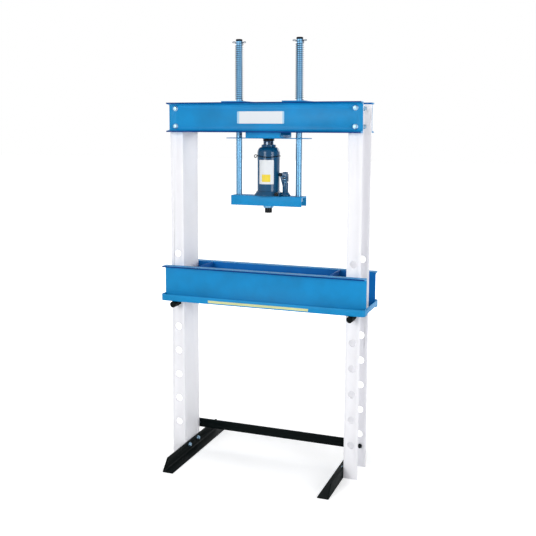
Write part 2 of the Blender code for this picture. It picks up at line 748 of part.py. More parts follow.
def least_gap(points, wire, apart):
    """The least gap between two parts of a wire that lie more than a number of points apart along it."""
    nearest = min(
        (Vector(first) - Vector(second)).length
        for index, first in enumerate(points)
        for second in points[index + apart :]
    )
    return nearest - wire


spring_foot = GUIDE_TOP + SEAT_GAP
spring_head = WASHER_BOTTOM - SEAT_GAP
washer_bore = rod_radius + SEAT_GAP
for hand, side in (("left", -1.0), ("right", 1.0)):
    line = side * ROD_LINE
    rod_turned = turned(rod_profile, ROUND_SIDES, (line, 0, 0))
    rod = piece(f"rod_{hand}", rod_turned, BRIGHT_STEEL, carriage, round_piece=True)
    pin_hole = SPLIT_PIN_DIAMETER / 2 + SEAT_GAP
    cut(rod, hole(pin_hole, (line, 0, SPLIT_PIN_LINE), (1, 0, 0), BOLT_SIDES))
    cap = turned(cap_profile, ROUND_SIDES, (line, 0, 0))
    piece(f"rod_cap_{hand}", cap, RUBBER, carriage, round_piece=True)
    washer = ring_shape(washer_bore, WASHER_DIAMETER / 2, WASHER_BOTTOM, WASHER_TOP, (line, 0, 0))
    piece(f"spring_washer_{hand}", washer, BRIGHT_ZINC, carriage, round_piece=True)
    straight = rod_radius + SPLIT_PIN_DIAMETER
    open_leg = SPLIT_PIN_LINE + SPLIT_PIN_OPEN
    split_pin_points = [
        (line - SPLIT_PIN_REACH, 0, open_leg - SPLIT_PIN_OPEN / 2),
        (line - SPLIT_PIN_REACH + SPLIT_PIN_DIAMETER, 0, open_leg),
        (line - straight - 1.5 * SPLIT_PIN_DIAMETER, 0, open_leg),
        (line - straight - SPLIT_PIN_DIAMETER / 2, 0, SPLIT_PIN_LINE + SPLIT_PIN_OPEN / 4),
        (line - straight, 0, SPLIT_PIN_LINE),
        (line + straight, 0, SPLIT_PIN_LINE),
        (line + SPLIT_PIN_REACH, 0, SPLIT_PIN_LINE + SPLIT_PIN_OPEN / 4),
    ]
    tube(f"split_pin_{hand}", split_pin_points, SPLIT_PIN_DIAMETER, BRIGHT_ZINC, carriage)
    coil = spring_points(line, spring_foot, spring_head)
    tube(f"return_spring_{hand}", coil, SPRING_WIRE, SPRING_STEEL, frame)
    print(f"return_spring_{hand}: least gap to itself {least_gap(coil, SPRING_WIRE, 6) * 1000:.2f} mm")
    rod_nut = nut((line, 0, rod_nut_top), (0, 0, -1), ROD_THREAD_DIAMETER, ROD_NUT_FLATS, ROD_NUT_HEIGHT)
    piece(f"rod_nut_{hand}", rod_nut, BRIGHT_ZINC, carriage)

# Nose under the bolster
collar_bottom = BOLSTER_BOTTOM - NOSE_COLLAR_DROP
nose_bore = NOSE_SHANK_DIAMETER / 2 + SEAT_GAP
nose_collar = turned(
    [
        (nose_bore, collar_bottom),
        (NOSE_COLLAR_DIAMETER / 2 - EDGE_BREAK, collar_bottom),
        (NOSE_COLLAR_DIAMETER / 2, collar_bottom + EDGE_BREAK),
        (NOSE_COLLAR_DIAMETER / 2, BOLSTER_ROOF - SEAT_GAP),
        (nose_bore, BOLSTER_ROOF - SEAT_GAP),
    ],
    ROUND_SIDES,
    (0, 0, 0),
)
piece("nose_collar", nose_collar, BRIGHT_STEEL, carriage, round_piece=True)
nose_top = collar_bottom - SEAT_GAP
nose_profile = [
    (0.0, nose_top - NOSE_LENGTH),
    (NOSE_DIAMETER / 2 - EDGE_BREAK, nose_top - NOSE_LENGTH),
    (NOSE_DIAMETER / 2, nose_top - NOSE_LENGTH + EDGE_BREAK),
    (NOSE_DIAMETER / 2, nose_top),
    (NOSE_SHANK_DIAMETER / 2, nose_top),
    (NOSE_SHANK_DIAMETER / 2, nose_top + NOSE_SHANK_LENGTH),
    (0.0, nose_top + NOSE_SHANK_LENGTH),
]
piece("press_nose", turned(nose_profile, ROUND_SIDES, (0, 0, 0)), BLACK_STEEL, carriage, round_piece=True)

# Jack base: a round foot under the tank, a smaller one under the pump and a boss for the release valve
pump_axis = (PUMP_OFFSET, 0.0, JACK_FOOT)
base_profile = [
    (0.0, 0.0),
    (BASE_DIAMETER / 2, 0.0),
    (BASE_DIAMETER / 2, BASE_RIM),
    (BASE_TOP_DIAMETER / 2 + EDGE_BREAK, BASE_HEIGHT - BASE_RIM),
    (BASE_TOP_DIAMETER / 2, BASE_HEIGHT),
    (0.0, BASE_HEIGHT),
]
base = piece("jack_base", turned(base_profile, TANK_SIDES, jack_axis), JACK_PAINT, carriage)
boss_profile = [
    (0.0, 0.0),
    (PUMP_BOSS_DIAMETER / 2, 0.0),
    (PUMP_BOSS_DIAMETER / 2, BASE_RIM),
    (PUMP_BOSS_TOP_DIAMETER / 2, PUMP_BOSS_HEIGHT),
    (0.0, PUMP_BOSS_HEIGHT),
]
join(base, turned(boss_profile, ROUND_SIDES, pump_axis))
bridge_low = (BRIDGE_START, -BRIDGE_WIDTH / 2, JACK_FOOT)
bridge_high = (PUMP_OFFSET, BRIDGE_WIDTH / 2, JACK_FOOT + BRIDGE_HEIGHT)
join(base, block(bridge_low, bridge_high))
valve_line = JACK_FOOT + VALVE_HEIGHT
boss_half = VALVE_HEAD_DIAMETER / 2 + EDGE_BREAK
valve_boss_low = (VALVE_OFFSET - boss_half, -VALVE_BOSS_REACH, JACK_FOOT)
valve_boss_high = (VALVE_OFFSET + boss_half, 0.0, JACK_FOOT + VALVE_BOSS_HEIGHT)
join(base, block(valve_boss_low, valve_boss_high))
seat_floor = BASE_HEIGHT - CYLINDER_SEAT_DEPTH
cylinder_radius = CYLINDER_DIAMETER / 2
barrel_radius = PUMP_BARREL_DIAMETER / 2
barrel_foot = PUMP_BOSS_HEIGHT - CYLINDER_SEAT_DEPTH
base_cuts = [
    rod_shape(cylinder_radius + SEAT_GAP, seat_floor, BASE_HEIGHT + CUT_REACH, jack_axis),
    rod_shape(barrel_radius + SEAT_GAP, barrel_foot, PUMP_BOSS_HEIGHT + CUT_REACH, pump_axis),
    rod_shape(
        VALVE_STEM_DIAMETER / 2 + SEAT_GAP,
        -CUT_REACH,
        VALVE_STEM_LENGTH + SEAT_GAP,
        (VALVE_OFFSET, -VALVE_BOSS_REACH, valve_line),
        (0, 1, 0),
        steps=SMALL_SIDES,
    ),
]
cut(base, combined(base_cuts))

# Pressure cylinder inside the tank
neck_top = TANK_NECK - SEAT_GAP
cylinder_profile = [
    (CYLINDER_BORE / 2, seat_floor + SEAT_GAP),
    (cylinder_radius, seat_floor + SEAT_GAP),
    (cylinder_radius, neck_top),
    (CYLINDER_BORE / 2, neck_top),
]
cylinder = turned(cylinder_profile, ROUND_SIDES, jack_axis)
piece("pressure_cylinder", cylinder, BRIGHT_STEEL, carriage, round_piece=True)

# Tank with its domed shoulder
tank_radius = TANK_DIAMETER / 2
neck_radius = cylinder_radius + SEAT_GAP
tank_foot = BASE_HEIGHT + SEAT_GAP
dome_height = neck_top - TANK_SHOULDER
neck_rim = NECK_NUT_DIAMETER / 2 + EDGE_BREAK
tank_profile = [(tank_radius - TANK_WALL, tank_foot), (tank_radius, tank_foot)]
for step in range(6):
    angle = step * math.pi / 10
    tank_profile.append(
        (neck_rim + (tank_radius - neck_rim) * math.cos(angle), TANK_SHOULDER + dome_height * math.sin(angle))
    )
tank_profile += [
    (neck_radius, neck_top),
    (neck_radius, neck_top - TANK_WALL),
    (neck_rim - TANK_WALL * 0.5, neck_top - TANK_WALL),
    (tank_radius - TANK_WALL, TANK_SHOULDER - TANK_WALL * 0.5),
]
piece("jack_tank", turned(tank_profile, TANK_SIDES, jack_axis), JACK_PAINT, carriage, round_piece=True)

# Neck nut and the wiper seal in it
ram_bore = RAM_DIAMETER / 2 + RAM_RUNNING_GAP
nut_top = TANK_NECK + NECK_NUT_HEIGHT
wiper_radius = WIPER_DIAMETER / 2
nut_radius = NECK_NUT_DIAMETER / 2
neck_nut_profile = [
    (ram_bore, TANK_NECK),
    (nut_radius, TANK_NECK),
    (nut_radius, nut_top - 2 * EDGE_BREAK),
    (nut_radius - 2 * EDGE_BREAK, nut_top),
    (wiper_radius + SEAT_GAP, nut_top),
    (wiper_radius + SEAT_GAP, nut_top - WIPER_DEPTH),
    (ram_bore, nut_top - WIPER_DEPTH),
]
piece("neck_nut", turned(neck_nut_profile, ROUND_SIDES, jack_axis), JACK_PAINT, carriage, round_piece=True)
wiper_foot = nut_top - WIPER_DEPTH + SEAT_GAP
wiper_profile = [
    (RAM_DIAMETER / 2 + SEAT_GAP, wiper_foot),
    (wiper_radius, wiper_foot),
    (wiper_radius, wiper_foot + WIPER_HEIGHT * 0.6),
    (RAM_DIAMETER / 2 + SEAT_GAP * 2, wiper_foot + WIPER_HEIGHT),
    (RAM_DIAMETER / 2 + SEAT_GAP, wiper_foot + WIPER_HEIGHT),
]
piece("wiper_seal", turned(wiper_profile, ROUND_SIDES, jack_axis), RUBBER, carriage, round_piece=True)

# Wire round the tank, with an eye on its left
band_line = JACK_FOOT + TANK_SHOULDER - BAND_BELOW_SHOULDER
band_radius = tank_radius + BAND_WIRE / 2 + SEAT_GAP * 2
eye_centre = band_radius + BAND_WIRE + BAND_EYE_RADIUS
band_points = []
for step in range(BAND_EYE_POINTS):
    share = step / (BAND_EYE_POINTS - 1)
    angle = math.radians(25 + share * BAND_EYE_TURN)
    eye_x = -eye_centre + BAND_EYE_RADIUS * math.cos(angle)
    eye_z = band_line + BAND_EYE_RADIUS * math.sin(angle)
    band_points.append((eye_x, BAND_WIRE * (1 - 2 * share), eye_z))
for step in range(BAND_POINTS):
    angle = math.radians(190 + step / (BAND_POINTS - 1) * BAND_TURN)
    ripple = BAND_RIPPLE * math.sin(2.5 * (angle - math.pi))
    band_points.append((band_radius * math.cos(angle), band_radius * math.sin(angle), band_line + ripple))
tube("tank_wire", band_points, BAND_WIRE, BLACK_STEEL, carriage)

# Pump barrel with the lug that the handle socket rocks on
pivot_x = PUMP_OFFSET - PIVOT_OFFSET
barrel = piece(
    "pump_barrel",
    rod_shape(barrel_radius, barrel_foot + SEAT_GAP, PUMP_BARREL_TOP, pump_axis, chamfer=EDGE_BREAK),
    JACK_PAINT,
    carriage,
)
pivot_line = JACK_FOOT + PIVOT_HEIGHT
barrel_top = JACK_FOOT + PUMP_BARREL_TOP
plunger_radius = PLUNGER_DIAMETER / 2
lug_right = PUMP_OFFSET - plunger_radius - LUG_FROM_PLUNGER
lug_outline = [
    (PUMP_OFFSET - barrel_radius + EDGE_BREAK, barrel_top - LUG_ROOT),
    (lug_right, barrel_top - LUG_ROOT),
    (lug_right, barrel_top + LUG_RISE),
    (pivot_x + LUG_EYE_RADIUS, JACK_FOOT + PLUNGER_PIN_HEIGHT - PLUNGER_CROWN),
]
for step in range(9):
    angle = math.radians(step * 22.5)
    across = LUG_EYE_RADIUS * math.cos(angle)
    lug_outline.append((pivot_x + across, pivot_line + LUG_EYE_RADIUS * math.sin(angle)))
join(barrel, prism(lug_outline, (1, 0, 0), (0, 0, 1), -LUG_THICKNESS / 2, LUG_THICKNESS / 2))
pin_radius = PIVOT_PIN_DIAMETER / 2
bore_foot = PLUNGER_FOOT - PLUNGER_BELOW
barrel_cuts = [
    rod_shape(plunger_radius + SEAT_GAP, bore_foot, PUMP_BARREL_TOP + CUT_REACH, pump_axis),
    hole(pin_radius + SEAT_GAP, (pivot_x, 0, pivot_line), (0, 1, 0)),
]
cut(barrel, combined(barrel_cuts))

# Pivot pin of the handle socket
cheek_outer = CHEEK_INNER / 2 + CHEEK_THICKNESS
pin_head_seat = cheek_outer + SEAT_GAP
pivot_pin_profile = [
    (0.0, -pin_head_seat - PIVOT_PIN_PROUD),
    (pin_radius, -pin_head_seat - PIVOT_PIN_PROUD),
    (pin_radius, pin_head_seat),
    (PIVOT_HEAD_DIAMETER / 2, pin_head_seat),
    (PIVOT_HEAD_DIAMETER / 2, pin_head_seat + PIVOT_HEAD_HEIGHT * 0.6),
    (PIVOT_HEAD_DIAMETER / 3, pin_head_seat + PIVOT_HEAD_HEIGHT),
    (0.0, pin_head_seat + PIVOT_HEAD_HEIGHT),
]
pivot_pin = turned(pivot_pin_profile, SMALL_SIDES, (pivot_x, 0, pivot_line), (0, -1, 0))
piece("pivot_pin", pivot_pin, BLACK_STEEL, carriage, round_piece=True)

# Handle socket: an upright tube over two cheeks that take the pivot pin and the plunger's pin
rocker = carrier("pump_rocker", (pivot_x, 0.0, pivot_line), frame)
socket_radius = SOCKET_DIAMETER / 2
socket_floor = SOCKET_TOP - SOCKET_DEPTH
socket_foot = socket_floor - SOCKET_FLOOR
socket = piece(
    "handle_socket",
    rod_shape(socket_radius, socket_foot, SOCKET_TOP, pump_axis, steps=SMALL_SIDES, chamfer=EDGE_BREAK),
    JACK_PAINT,
    rocker,
)
cheek_right = PUMP_OFFSET + socket_radius
cheek_floor = JACK_FOOT + CHEEK_BOTTOM
cheek_outline = [
    (PUMP_OFFSET - socket_radius - EDGE_BREAK, cheek_floor),
    (cheek_right, cheek_floor),
    (cheek_right, JACK_FOOT + CHEEK_TOP - CHEEK_CORNER),
    (cheek_right - CHEEK_CORNER, JACK_FOOT + CHEEK_TOP),
]
for step in range(9):
    angle = math.radians(90 + step * 22.5)
    cheek_outline.append(
        (pivot_x + CHEEK_EYE_RADIUS * math.cos(angle), pivot_line + CHEEK_EYE_RADIUS * math.sin(angle))
    )
for face in (-1.0, 1.0):
    ends = sorted((face * CHEEK_INNER / 2, face * cheek_outer))
    join(socket, prism(cheek_outline, (1, 0, 0), (0, 0, 1), ends[0], ends[1]))
swing = math.radians(PUMP_SWING)
plunger_travel = PIVOT_OFFSET * swing
pin_drop = PIVOT_HEIGHT - PLUNGER_PIN_HEIGHT
slot_shift = PIVOT_OFFSET * (1 - math.cos(swing)) + (pin_drop - plunger_travel) * math.sin(swing)
plunger_pin_line = JACK_FOOT + PLUNGER_PIN_HEIGHT
slot_half = PLUNGER_PIN_DIAMETER / 2 + PLUNGER_PIN_CLEARANCE
slot_left = PUMP_OFFSET - slot_shift - slot_half
slot_right = PUMP_OFFSET + slot_half
socket_cuts = [
    rod_shape(SOCKET_BORE / 2, socket_floor, SOCKET_TOP + CUT_REACH, pump_axis, steps=SMALL_SIDES),
    hole(pin_radius + SEAT_GAP, (pivot_x, 0, pivot_line), (0, 1, 0)),
    block(
        (slot_left, -CUT_REACH, plunger_pin_line - slot_half),
        (slot_right, CUT_REACH, plunger_pin_line + slot_half),
    ),
]
cut(socket, combined(socket_cuts))

# Plunger and the pin that the cheeks lift it by
plunger_slide = carrier("plunger_slide", (PUMP_OFFSET, 0.0, barrel_top), frame)
neck_half = CHEEK_INNER / 2 - PLUNGER_SIDE_GAP
plunger = piece(
    "pump_plunger",
    rod_shape(plunger_radius, PLUNGER_FOOT, PLUNGER_PIN_HEIGHT + PLUNGER_CROWN, pump_axis),
    BRIGHT_STEEL,
    plunger_slide,
)
for face in (-1.0, 1.0):
    faces = sorted((face * neck_half, face * CUT_REACH))
    low = (PUMP_OFFSET - CUT_REACH, faces[0], barrel_top - PLUNGER_FLATS_BELOW)
    high = (PUMP_OFFSET + CUT_REACH, faces[1], JACK_FOOT + SOCKET_TOP)
    cut(plunger, block(low, high))
plunger_pin_radius = PLUNGER_PIN_DIAMETER / 2
plunger_pin_place = (PUMP_OFFSET, 0, plunger_pin_line)
cut(plunger, hole(plunger_pin_radius + SEAT_GAP, plunger_pin_place, (0, 1, 0)))
plunger_pin = rod_shape(
    plunger_pin_radius, -cheek_outer, cheek_outer, plunger_pin_place, (0, 1, 0), steps=SMALL_SIDES
)
piece("plunger_pin", plunger_pin, BLACK_STEEL, plunger_slide, round_piece=True)

# Release valve
valve_front = -VALVE_BOSS_REACH - SEAT_GAP
valve_turn = carrier("valve_turn", (VALVE_OFFSET, valve_front, valve_line), frame)
valve_radius = VALVE_HEAD_DIAMETER / 2
stem_radius = VALVE_STEM_DIAMETER / 2
valve_profile = [
    (0.0, -VALVE_STEM_LENGTH),
    (stem_radius, -VALVE_STEM_LENGTH),
    (stem_radius, 0.0),
    (valve_radius, 0.0),
    (valve_radius, VALVE_HEAD_LENGTH - EDGE_BREAK),
    (valve_radius - EDGE_BREAK, VALVE_HEAD_LENGTH),
    (0.0, VALVE_HEAD_LENGTH),
]
valve = piece(
    "release_valve",
    turned(valve_profile, ROUND_SIDES, (VALVE_OFFSET, valve_front, valve_line), (0, -1, 0)),
    BLACK_STEEL,
    valve_turn,
    round_piece=True,
)
slot_floor = valve_front - VALVE_HEAD_LENGTH + VALVE_SLOT_DEPTH
slot_front = valve_front - VALVE_HEAD_LENGTH - CUT_REACH
slot_low = (VALVE_OFFSET - CUT_REACH, slot_front, valve_line - VALVE_SLOT / 2)
slot_high = (VALVE_OFFSET + CUT_REACH, slot_floor, valve_line + VALVE_SLOT / 2)
cut(valve, block(slot_low, slot_high))

# Bed channels
bed_lift = carrier("bed_lift", (0.0, 0.0, SKIRT_BOTTOM), frame)
bed_section = channel_outline(BED_HEIGHT, BED_FLANGE, BED_WEB, BED_TOE, BED_ROOT)
bed_points = [(u + (BED_BOTTOM + BED_TOP) / 2, v) for u, v in bed_section]
bed_half = BED_LENGTH / 2
corner_x = SKIRT_END - SKIRT_CORNER_RADIUS
corner_y = SKIRT_FACE - SKIRT_CORNER_RADIUS


def corner_arc(hand, radius):
    """Points of a rounded corner of the skirt, from the end bar round to the long side."""
    angles = [math.radians(step * 15) for step in range(7)]
    return [(hand * (corner_x + radius * math.cos(a)), corner_y + radius * math.sin(a)) for a in angles]


for name, side in (("bed_channel_front", -1.0), ("bed_channel_rear", 1.0)):
    section = prism(shifted(bed_points, WEB_PLANE), (0, 0, 1), (0, side, 0), -bed_half, bed_half)
    channel = piece(name, section, BLUE_PAINT, bed_lift)
    snips = []
    for hand in (-1.0, 1.0):
        snip = corner_arc(hand, SKIRT_CORNER_RADIUS - SKIRT_WALL - SEAT_GAP)
        snip += [(hand * corner_x, SKIRT_FACE), (hand * SKIRT_END, SKIRT_FACE), (hand * SKIRT_END, corner_y)]
        snip_top = SKIRT_BOTTOM + SKIRT_HEIGHT + SEAT_GAP
        snips.append(prism(snip, (1, 0, 0), (0, side, 0), SKIRT_BOTTOM, snip_top))
    cut(channel, combined(snips))

# Skirt: an angle along the front and one along the rear, rounded at the corners, with a bar across each end
for name, side in (("bed_skirt_front", -1.0), ("bed_skirt_rear", 1.0)):
    outside = corner_arc(-1.0, SKIRT_CORNER_RADIUS) + list(reversed(corner_arc(1.0, SKIRT_CORNER_RADIUS)))
    inner_radius = SKIRT_CORNER_RADIUS - SKIRT_WALL
    inside = corner_arc(-1.0, inner_radius) + list(reversed(corner_arc(1.0, inner_radius)))
    skirt_top = SKIRT_BOTTOM + SKIRT_HEIGHT
    band = prism(outside + list(reversed(inside)), (1, 0, 0), (0, side, 0), SKIRT_BOTTOM, skirt_top)
    skirt = piece(name, band, BLUE_PAINT, bed_lift)
    leg_inner = SKIRT_FACE - SKIRT_LEG
    leg = [*outside, (SKIRT_END, leg_inner), (-SKIRT_END, leg_inner)]
    join(skirt, prism(leg, (1, 0, 0), (0, side, 0), SKIRT_BOTTOM, SKIRT_BOTTOM + SKIRT_LEG_THICKNESS))
for name, side in (("bed_end_bar_left", -1.0), ("bed_end_bar_right", 1.0)):
    ends = sorted((side * SKIRT_END, side * (SKIRT_END - SKIRT_WALL)))
    reach = corner_y - SEAT_GAP
    floor = SKIRT_BOTTOM + SKIRT_LEG_THICKNESS + SEAT_GAP
    bar_shape = block((ends[0], -reach, floor), (ends[1], reach, SKIRT_BOTTOM + SKIRT_HEIGHT))
    piece(name, bar_shape, BLUE_PAINT, bed_lift)

# Cross plates between the bed's channels
for name, side in (("bed_cross_plate_left", -1.0), ("bed_cross_plate_right", 1.0)):
    middle = side * CROSS_PLATE_OFFSET
    reach = WEB_PLANE - SEAT_GAP
    low = (middle - CROSS_PLATE_THICKNESS / 2, -reach, BED_TOP - CROSS_PLATE_HEIGHT)
    high = (middle + CROSS_PLATE_THICKNESS / 2, reach, BED_TOP)
    piece(name, block(low, high), BLUE_PAINT, bed_lift)

# Support pins
for name, side in (("support_pin_left", -1.0), ("support_pin_right", 1.0)):
    axis = (side * HOLE_LINE, 0.0, PIN_LINE)
    pin_slide = carrier(f"{name}_slide", axis, frame)
    half = SUPPORT_PIN_LENGTH / 2
    shape = rod_shape(SUPPORT_PIN_DIAMETER / 2, -half, half, axis, (0, 1, 0), chamfer=SUPPORT_PIN_CHAMFER)
    piece(name, shape, BLACK_PAINT, pin_slide, round_piece=True)

# The whole press moves so that the origin is under the middle of its feet
frame.location.y = (FOOT_FRONT - FOOT_BACK) / 2
bpy.context.view_layer.update()
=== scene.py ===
"""The looks of a hydraulic shop press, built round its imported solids. Metres, +Z up, -Y in front."""

import math

import bmesh
import bpy
from mathutils import Matrix, Vector


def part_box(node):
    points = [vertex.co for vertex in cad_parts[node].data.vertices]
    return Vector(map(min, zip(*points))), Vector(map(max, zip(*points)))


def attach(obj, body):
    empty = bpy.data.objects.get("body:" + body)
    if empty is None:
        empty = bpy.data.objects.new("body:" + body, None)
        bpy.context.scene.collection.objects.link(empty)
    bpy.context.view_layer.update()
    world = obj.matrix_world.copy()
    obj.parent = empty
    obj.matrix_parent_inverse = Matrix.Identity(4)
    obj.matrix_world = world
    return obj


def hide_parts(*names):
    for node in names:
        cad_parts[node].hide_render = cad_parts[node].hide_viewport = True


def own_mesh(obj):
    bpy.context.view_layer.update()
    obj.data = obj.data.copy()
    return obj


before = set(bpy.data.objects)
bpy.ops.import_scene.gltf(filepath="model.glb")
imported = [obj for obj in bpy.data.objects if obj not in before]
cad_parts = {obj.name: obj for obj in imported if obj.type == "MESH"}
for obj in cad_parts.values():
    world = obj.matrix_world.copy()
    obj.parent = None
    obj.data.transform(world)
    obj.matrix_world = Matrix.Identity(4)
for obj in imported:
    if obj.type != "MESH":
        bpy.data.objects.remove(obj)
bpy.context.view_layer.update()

# Uprights: two rolled steel channels that stand web to web, with a row of punched holes in each
# flange for the bed's pins. They are sprayed with white enamel, which rounds every punched and
# sawn edge a little.


def fresh_material(name):
    """A new material, with its nodes, its links and its shader."""
    material = bpy.data.materials.new(name)
    material.use_nodes = True
    nodes = material.node_tree.nodes
    return material, nodes, material.node_tree.links, nodes["Principled BSDF"]


def mottle(nodes, scale, detail):
    """A cloudy pattern; its scale is about how many clouds go to the metre."""
    pattern = nodes.new("ShaderNodeTexNoise")
    pattern.inputs["Scale"].default_value = scale
    pattern.inputs["Detail"].default_value = detail
    return pattern


def two_tones(nodes, colour, spread, low, high):
    """Blends from a darker to a lighter tone of a colour between two values of a pattern."""
    tones = nodes.new("ShaderNodeValToRGB")
    for stop, position, factor in ((0, low, 1.0 - spread), (1, high, 1.0 + spread)):
        tone = [min(1.0, part * factor) for part in colour]
        tones.color_ramp.elements[stop].position = position
        tones.color_ramp.elements[stop].color = (*tone, 1.0)
    return tones


def ranged(nodes, old, new):
    """Turns one range of values into another."""
    turner = nodes.new("ShaderNodeMapRange")
    for end, value in zip(("From Min", "From Max", "To Min", "To Max"), (*old, *new)):
        turner.inputs[end].default_value = value
    return turner


def fine_bumps(nodes, strength):
    """Bumps that stand up a fifth of a millimetre at most."""
    bumps = nodes.new("ShaderNodeBump")
    bumps.inputs["Strength"].default_value = strength
    bumps.inputs["Distance"].default_value = 0.0002
    return bumps


def enamel(name, colour, roughness, clouds, coat=0.0, shine=0.2):
    """Sprayed paint: soft clouds in its colour, an uneven gloss and a fine orange peel."""
    material, nodes, links, shader = fresh_material(name)
    shader.inputs["Coat Weight"].default_value = coat
    shader.inputs["Specular IOR Level"].default_value = shine
    place = nodes.new("ShaderNodeTexCoord")
    patches = mottle(nodes, scale=9.0, detail=5.0)
    tones = two_tones(nodes, colour, clouds, low=0.32, high=0.68)
    gloss = ranged(nodes, old=(0.3, 0.7), new=(roughness - 0.05, roughness + 0.07))
    peel = mottle(nodes, scale=650.0, detail=2.0)
    bumps = fine_bumps(nodes, strength=0.10)
    links.new(place.outputs["Object"], patches.inputs["Vector"])
    links.new(place.outputs["Object"], peel.inputs["Vector"])
    links.new(patches.outputs["Fac"], tones.inputs["Fac"])
    links.new(patches.outputs["Fac"], gloss.inputs["Value"])
    links.new(tones.outputs["Color"], shader.inputs["Base Color"])
    links.new(gloss.outputs["Result"], shader.inputs["Roughness"])
    links.new(peel.outputs["Fac"], bumps.inputs["Height"])
    links.new(bumps.outputs["Normal"], shader.inputs["Normal"])
    return material


def eased(shape, edge, sharper=35.0, segments=2):
    """Rounds the edges at which the faces turn by more than an angle, in degrees."""
    least = math.radians(sharper)
    sharp = [line for line in shape.edges if line.is_manifold and line.calc_face_angle() > least]
    bmesh.ops.bevel(
        shape,
        geom=sharp,
        offset=edge,
        segments=segments,
        profile=0.5,
        affect="EDGES",
        clamp_overlap=True,
        material=-1,
    )
    return shape


def from_solid(node, edge):
    """A copy of the node's solid, merged, with its edges rounded."""
    shape = bmesh.new()
    shape.from_mesh(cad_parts[node].data)
    bmesh.ops.remove_doubles(shape, verts=shape.verts, dist=0.00001)
    flat = math.radians(0.2)
    bmesh.ops.dissolve_limit(shape, angle_limit=flat, verts=shape.verts, edges=shape.edges)
    return eased(shape, edge)


def fitted(shape, name, material, body, nodes=(), smooth=38.0):
    """Makes a finished shape a piece on its body, in place of its solids."""
    mesh = bpy.data.meshes.new(name)
    shape.to_mesh(mesh)
    shape.free()
    mesh.shade_smooth()
    mesh.set_sharp_from_angle(angle=math.radians(smooth))
    mesh.materials.append(material)
    piece = bpy.data.objects.new(name, mesh)
    bpy.context.scene.collection.objects.link(piece)
    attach(piece, body)
    if nodes:
        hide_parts(*nodes)
    return piece


white_enamel = enamel("white_enamel", (0.84, 0.84, 0.875), 0.40, clouds=0.02)
for hand in ("left", "right"):
    upright = f"upright_{hand}"
    channel = from_solid(upright, edge=0.0009)
    fitted(channel, f"{upright}_channel", white_enamel, "frame", [upright])

# Feet: lengths of angle iron, sawn off at a slant in front, that stand against the inner faces of
# the uprights' webs, and a flat bar that ties the uprights together behind. All are dipped in
# black enamel.
black_enamel = enamel("black_enamel", (0.001, 0.003, 0.003), 0.50, clouds=0.15, shine=0.06)
for node in ("foot_left", "foot_right", "rear_cross_bar"):
    iron = from_solid(node, edge=0.0008)
    fitted(iron, f"{node}_iron", black_enamel, "frame", [node])

# Frame bolts: flanged hexagon bolts with a nut on the far side, zinc plated. Two tie each foot to
# its upright, one the bar to each upright, and two each end of each beam. The bar's are blackened.


def metal(name, colour, roughness, grain=(1.0, 1.0, 1.0), scale=60.0, streaks=0.15):
    """Bare or plated metal: its gloss and its shade run in fine streaks along the grain."""
    material, nodes, links, shader = fresh_material(name)
    shader.inputs["Metallic"].default_value = 1.0
    place = nodes.new("ShaderNodeTexCoord")
    along = nodes.new("ShaderNodeMapping")
    along.inputs["Scale"].default_value = grain
    lines = mottle(nodes, scale, detail=3.0)
    tones = two_tones(nodes, colour, streaks, low=0.3, high=0.7)
    gloss = ranged(nodes, old=(0.3, 0.7), new=(roughness * 0.75, roughness * 1.3))
    bumps = fine_bumps(nodes, strength=0.08)
    links.new(place.outputs["Object"], along.inputs["Vector"])
    links.new(along.outputs["Vector"], lines.inputs["Vector"])
    links.new(lines.outputs["Fac"], tones.inputs["Fac"])
    links.new(lines.outputs["Fac"], gloss.inputs["Value"])
    links.new(tones.outputs["Color"], shader.inputs["Base Color"])
    links.new(gloss.outputs["Result"], shader.inputs["Roughness"])
    links.new(lines.outputs["Fac"], bumps.inputs["Height"])
    links.new(bumps.outputs["Normal"], shader.inputs["Normal"])
    return material


def stood(shape, place, direction=(0.0, 0.0, 1.0)):
    """Stands an upright shape at a place, its +Z along a direction."""
    turn = Vector((0.0, 0.0, 1.0)).rotation_difference(Vector(direction)).to_matrix().to_4x4()
    move = Matrix.Translation(Vector(place))
    bmesh.ops.transform(shape, matrix=move @ turn, verts=shape.verts)
    return shape


def turned(profile, steps=48, edge=0.0):
    """Spins points of radius and height about Z; a profile that starts off the axis is closed."""
    shape = bmesh.new()
    points = [shape.verts.new((radius, 0.0, height)) for radius, height in profile]
    lines = [shape.edges.new(pair) for pair in zip(points, points[1:])]
    if profile[0][0] > 0.0:
        lines.append(shape.edges.new((points[-1], points[0])))
    bmesh.ops.spin(
        shape,
        geom=points + lines,
        cent=(0, 0, 0),
        axis=(0, 0, 1),
        angle=2 * math.pi,
        steps=steps,
        use_merge=True,
    )
    bmesh.ops.remove_doubles(shape, verts=shape.verts, dist=0.000001)
    bmesh.ops.recalc_face_normals(shape, faces=shape.faces)
    return eased(shape, edge) if edge else shape


def hexagon(flats, start, end, edge):
    """A hexagon head or nut between two heights, with rounded edges."""
    shape = bmesh.new()
    corner_radius = flats / 2 / math.cos(math.pi / 6)
    bmesh.ops.create_circle(shape, segments=6, radius=corner_radius, cap_ends=True)
    bmesh.ops.translate(shape, verts=shape.verts, vec=(0, 0, start))
    grown = bmesh.ops.extrude_face_region(shape, geom=list(shape.faces))
    top = [item for item in grown["geom"] if isinstance(item, bmesh.types.BMVert)]
    bmesh.ops.translate(shape, verts=top, vec=(0, 0, end - start))
    bmesh.ops.recalc_face_normals(shape, faces=shape.faces)
    return eased(shape, edge)


def gathered(shapes):
    """Several shapes as one."""
    whole = bmesh.new()
    for shape in shapes:
        mesh = bpy.data.meshes.new("part")
        shape.to_mesh(mesh)
        shape.free()
        whole.from_mesh(mesh)
        bpy.data.meshes.remove(mesh)
    return whole


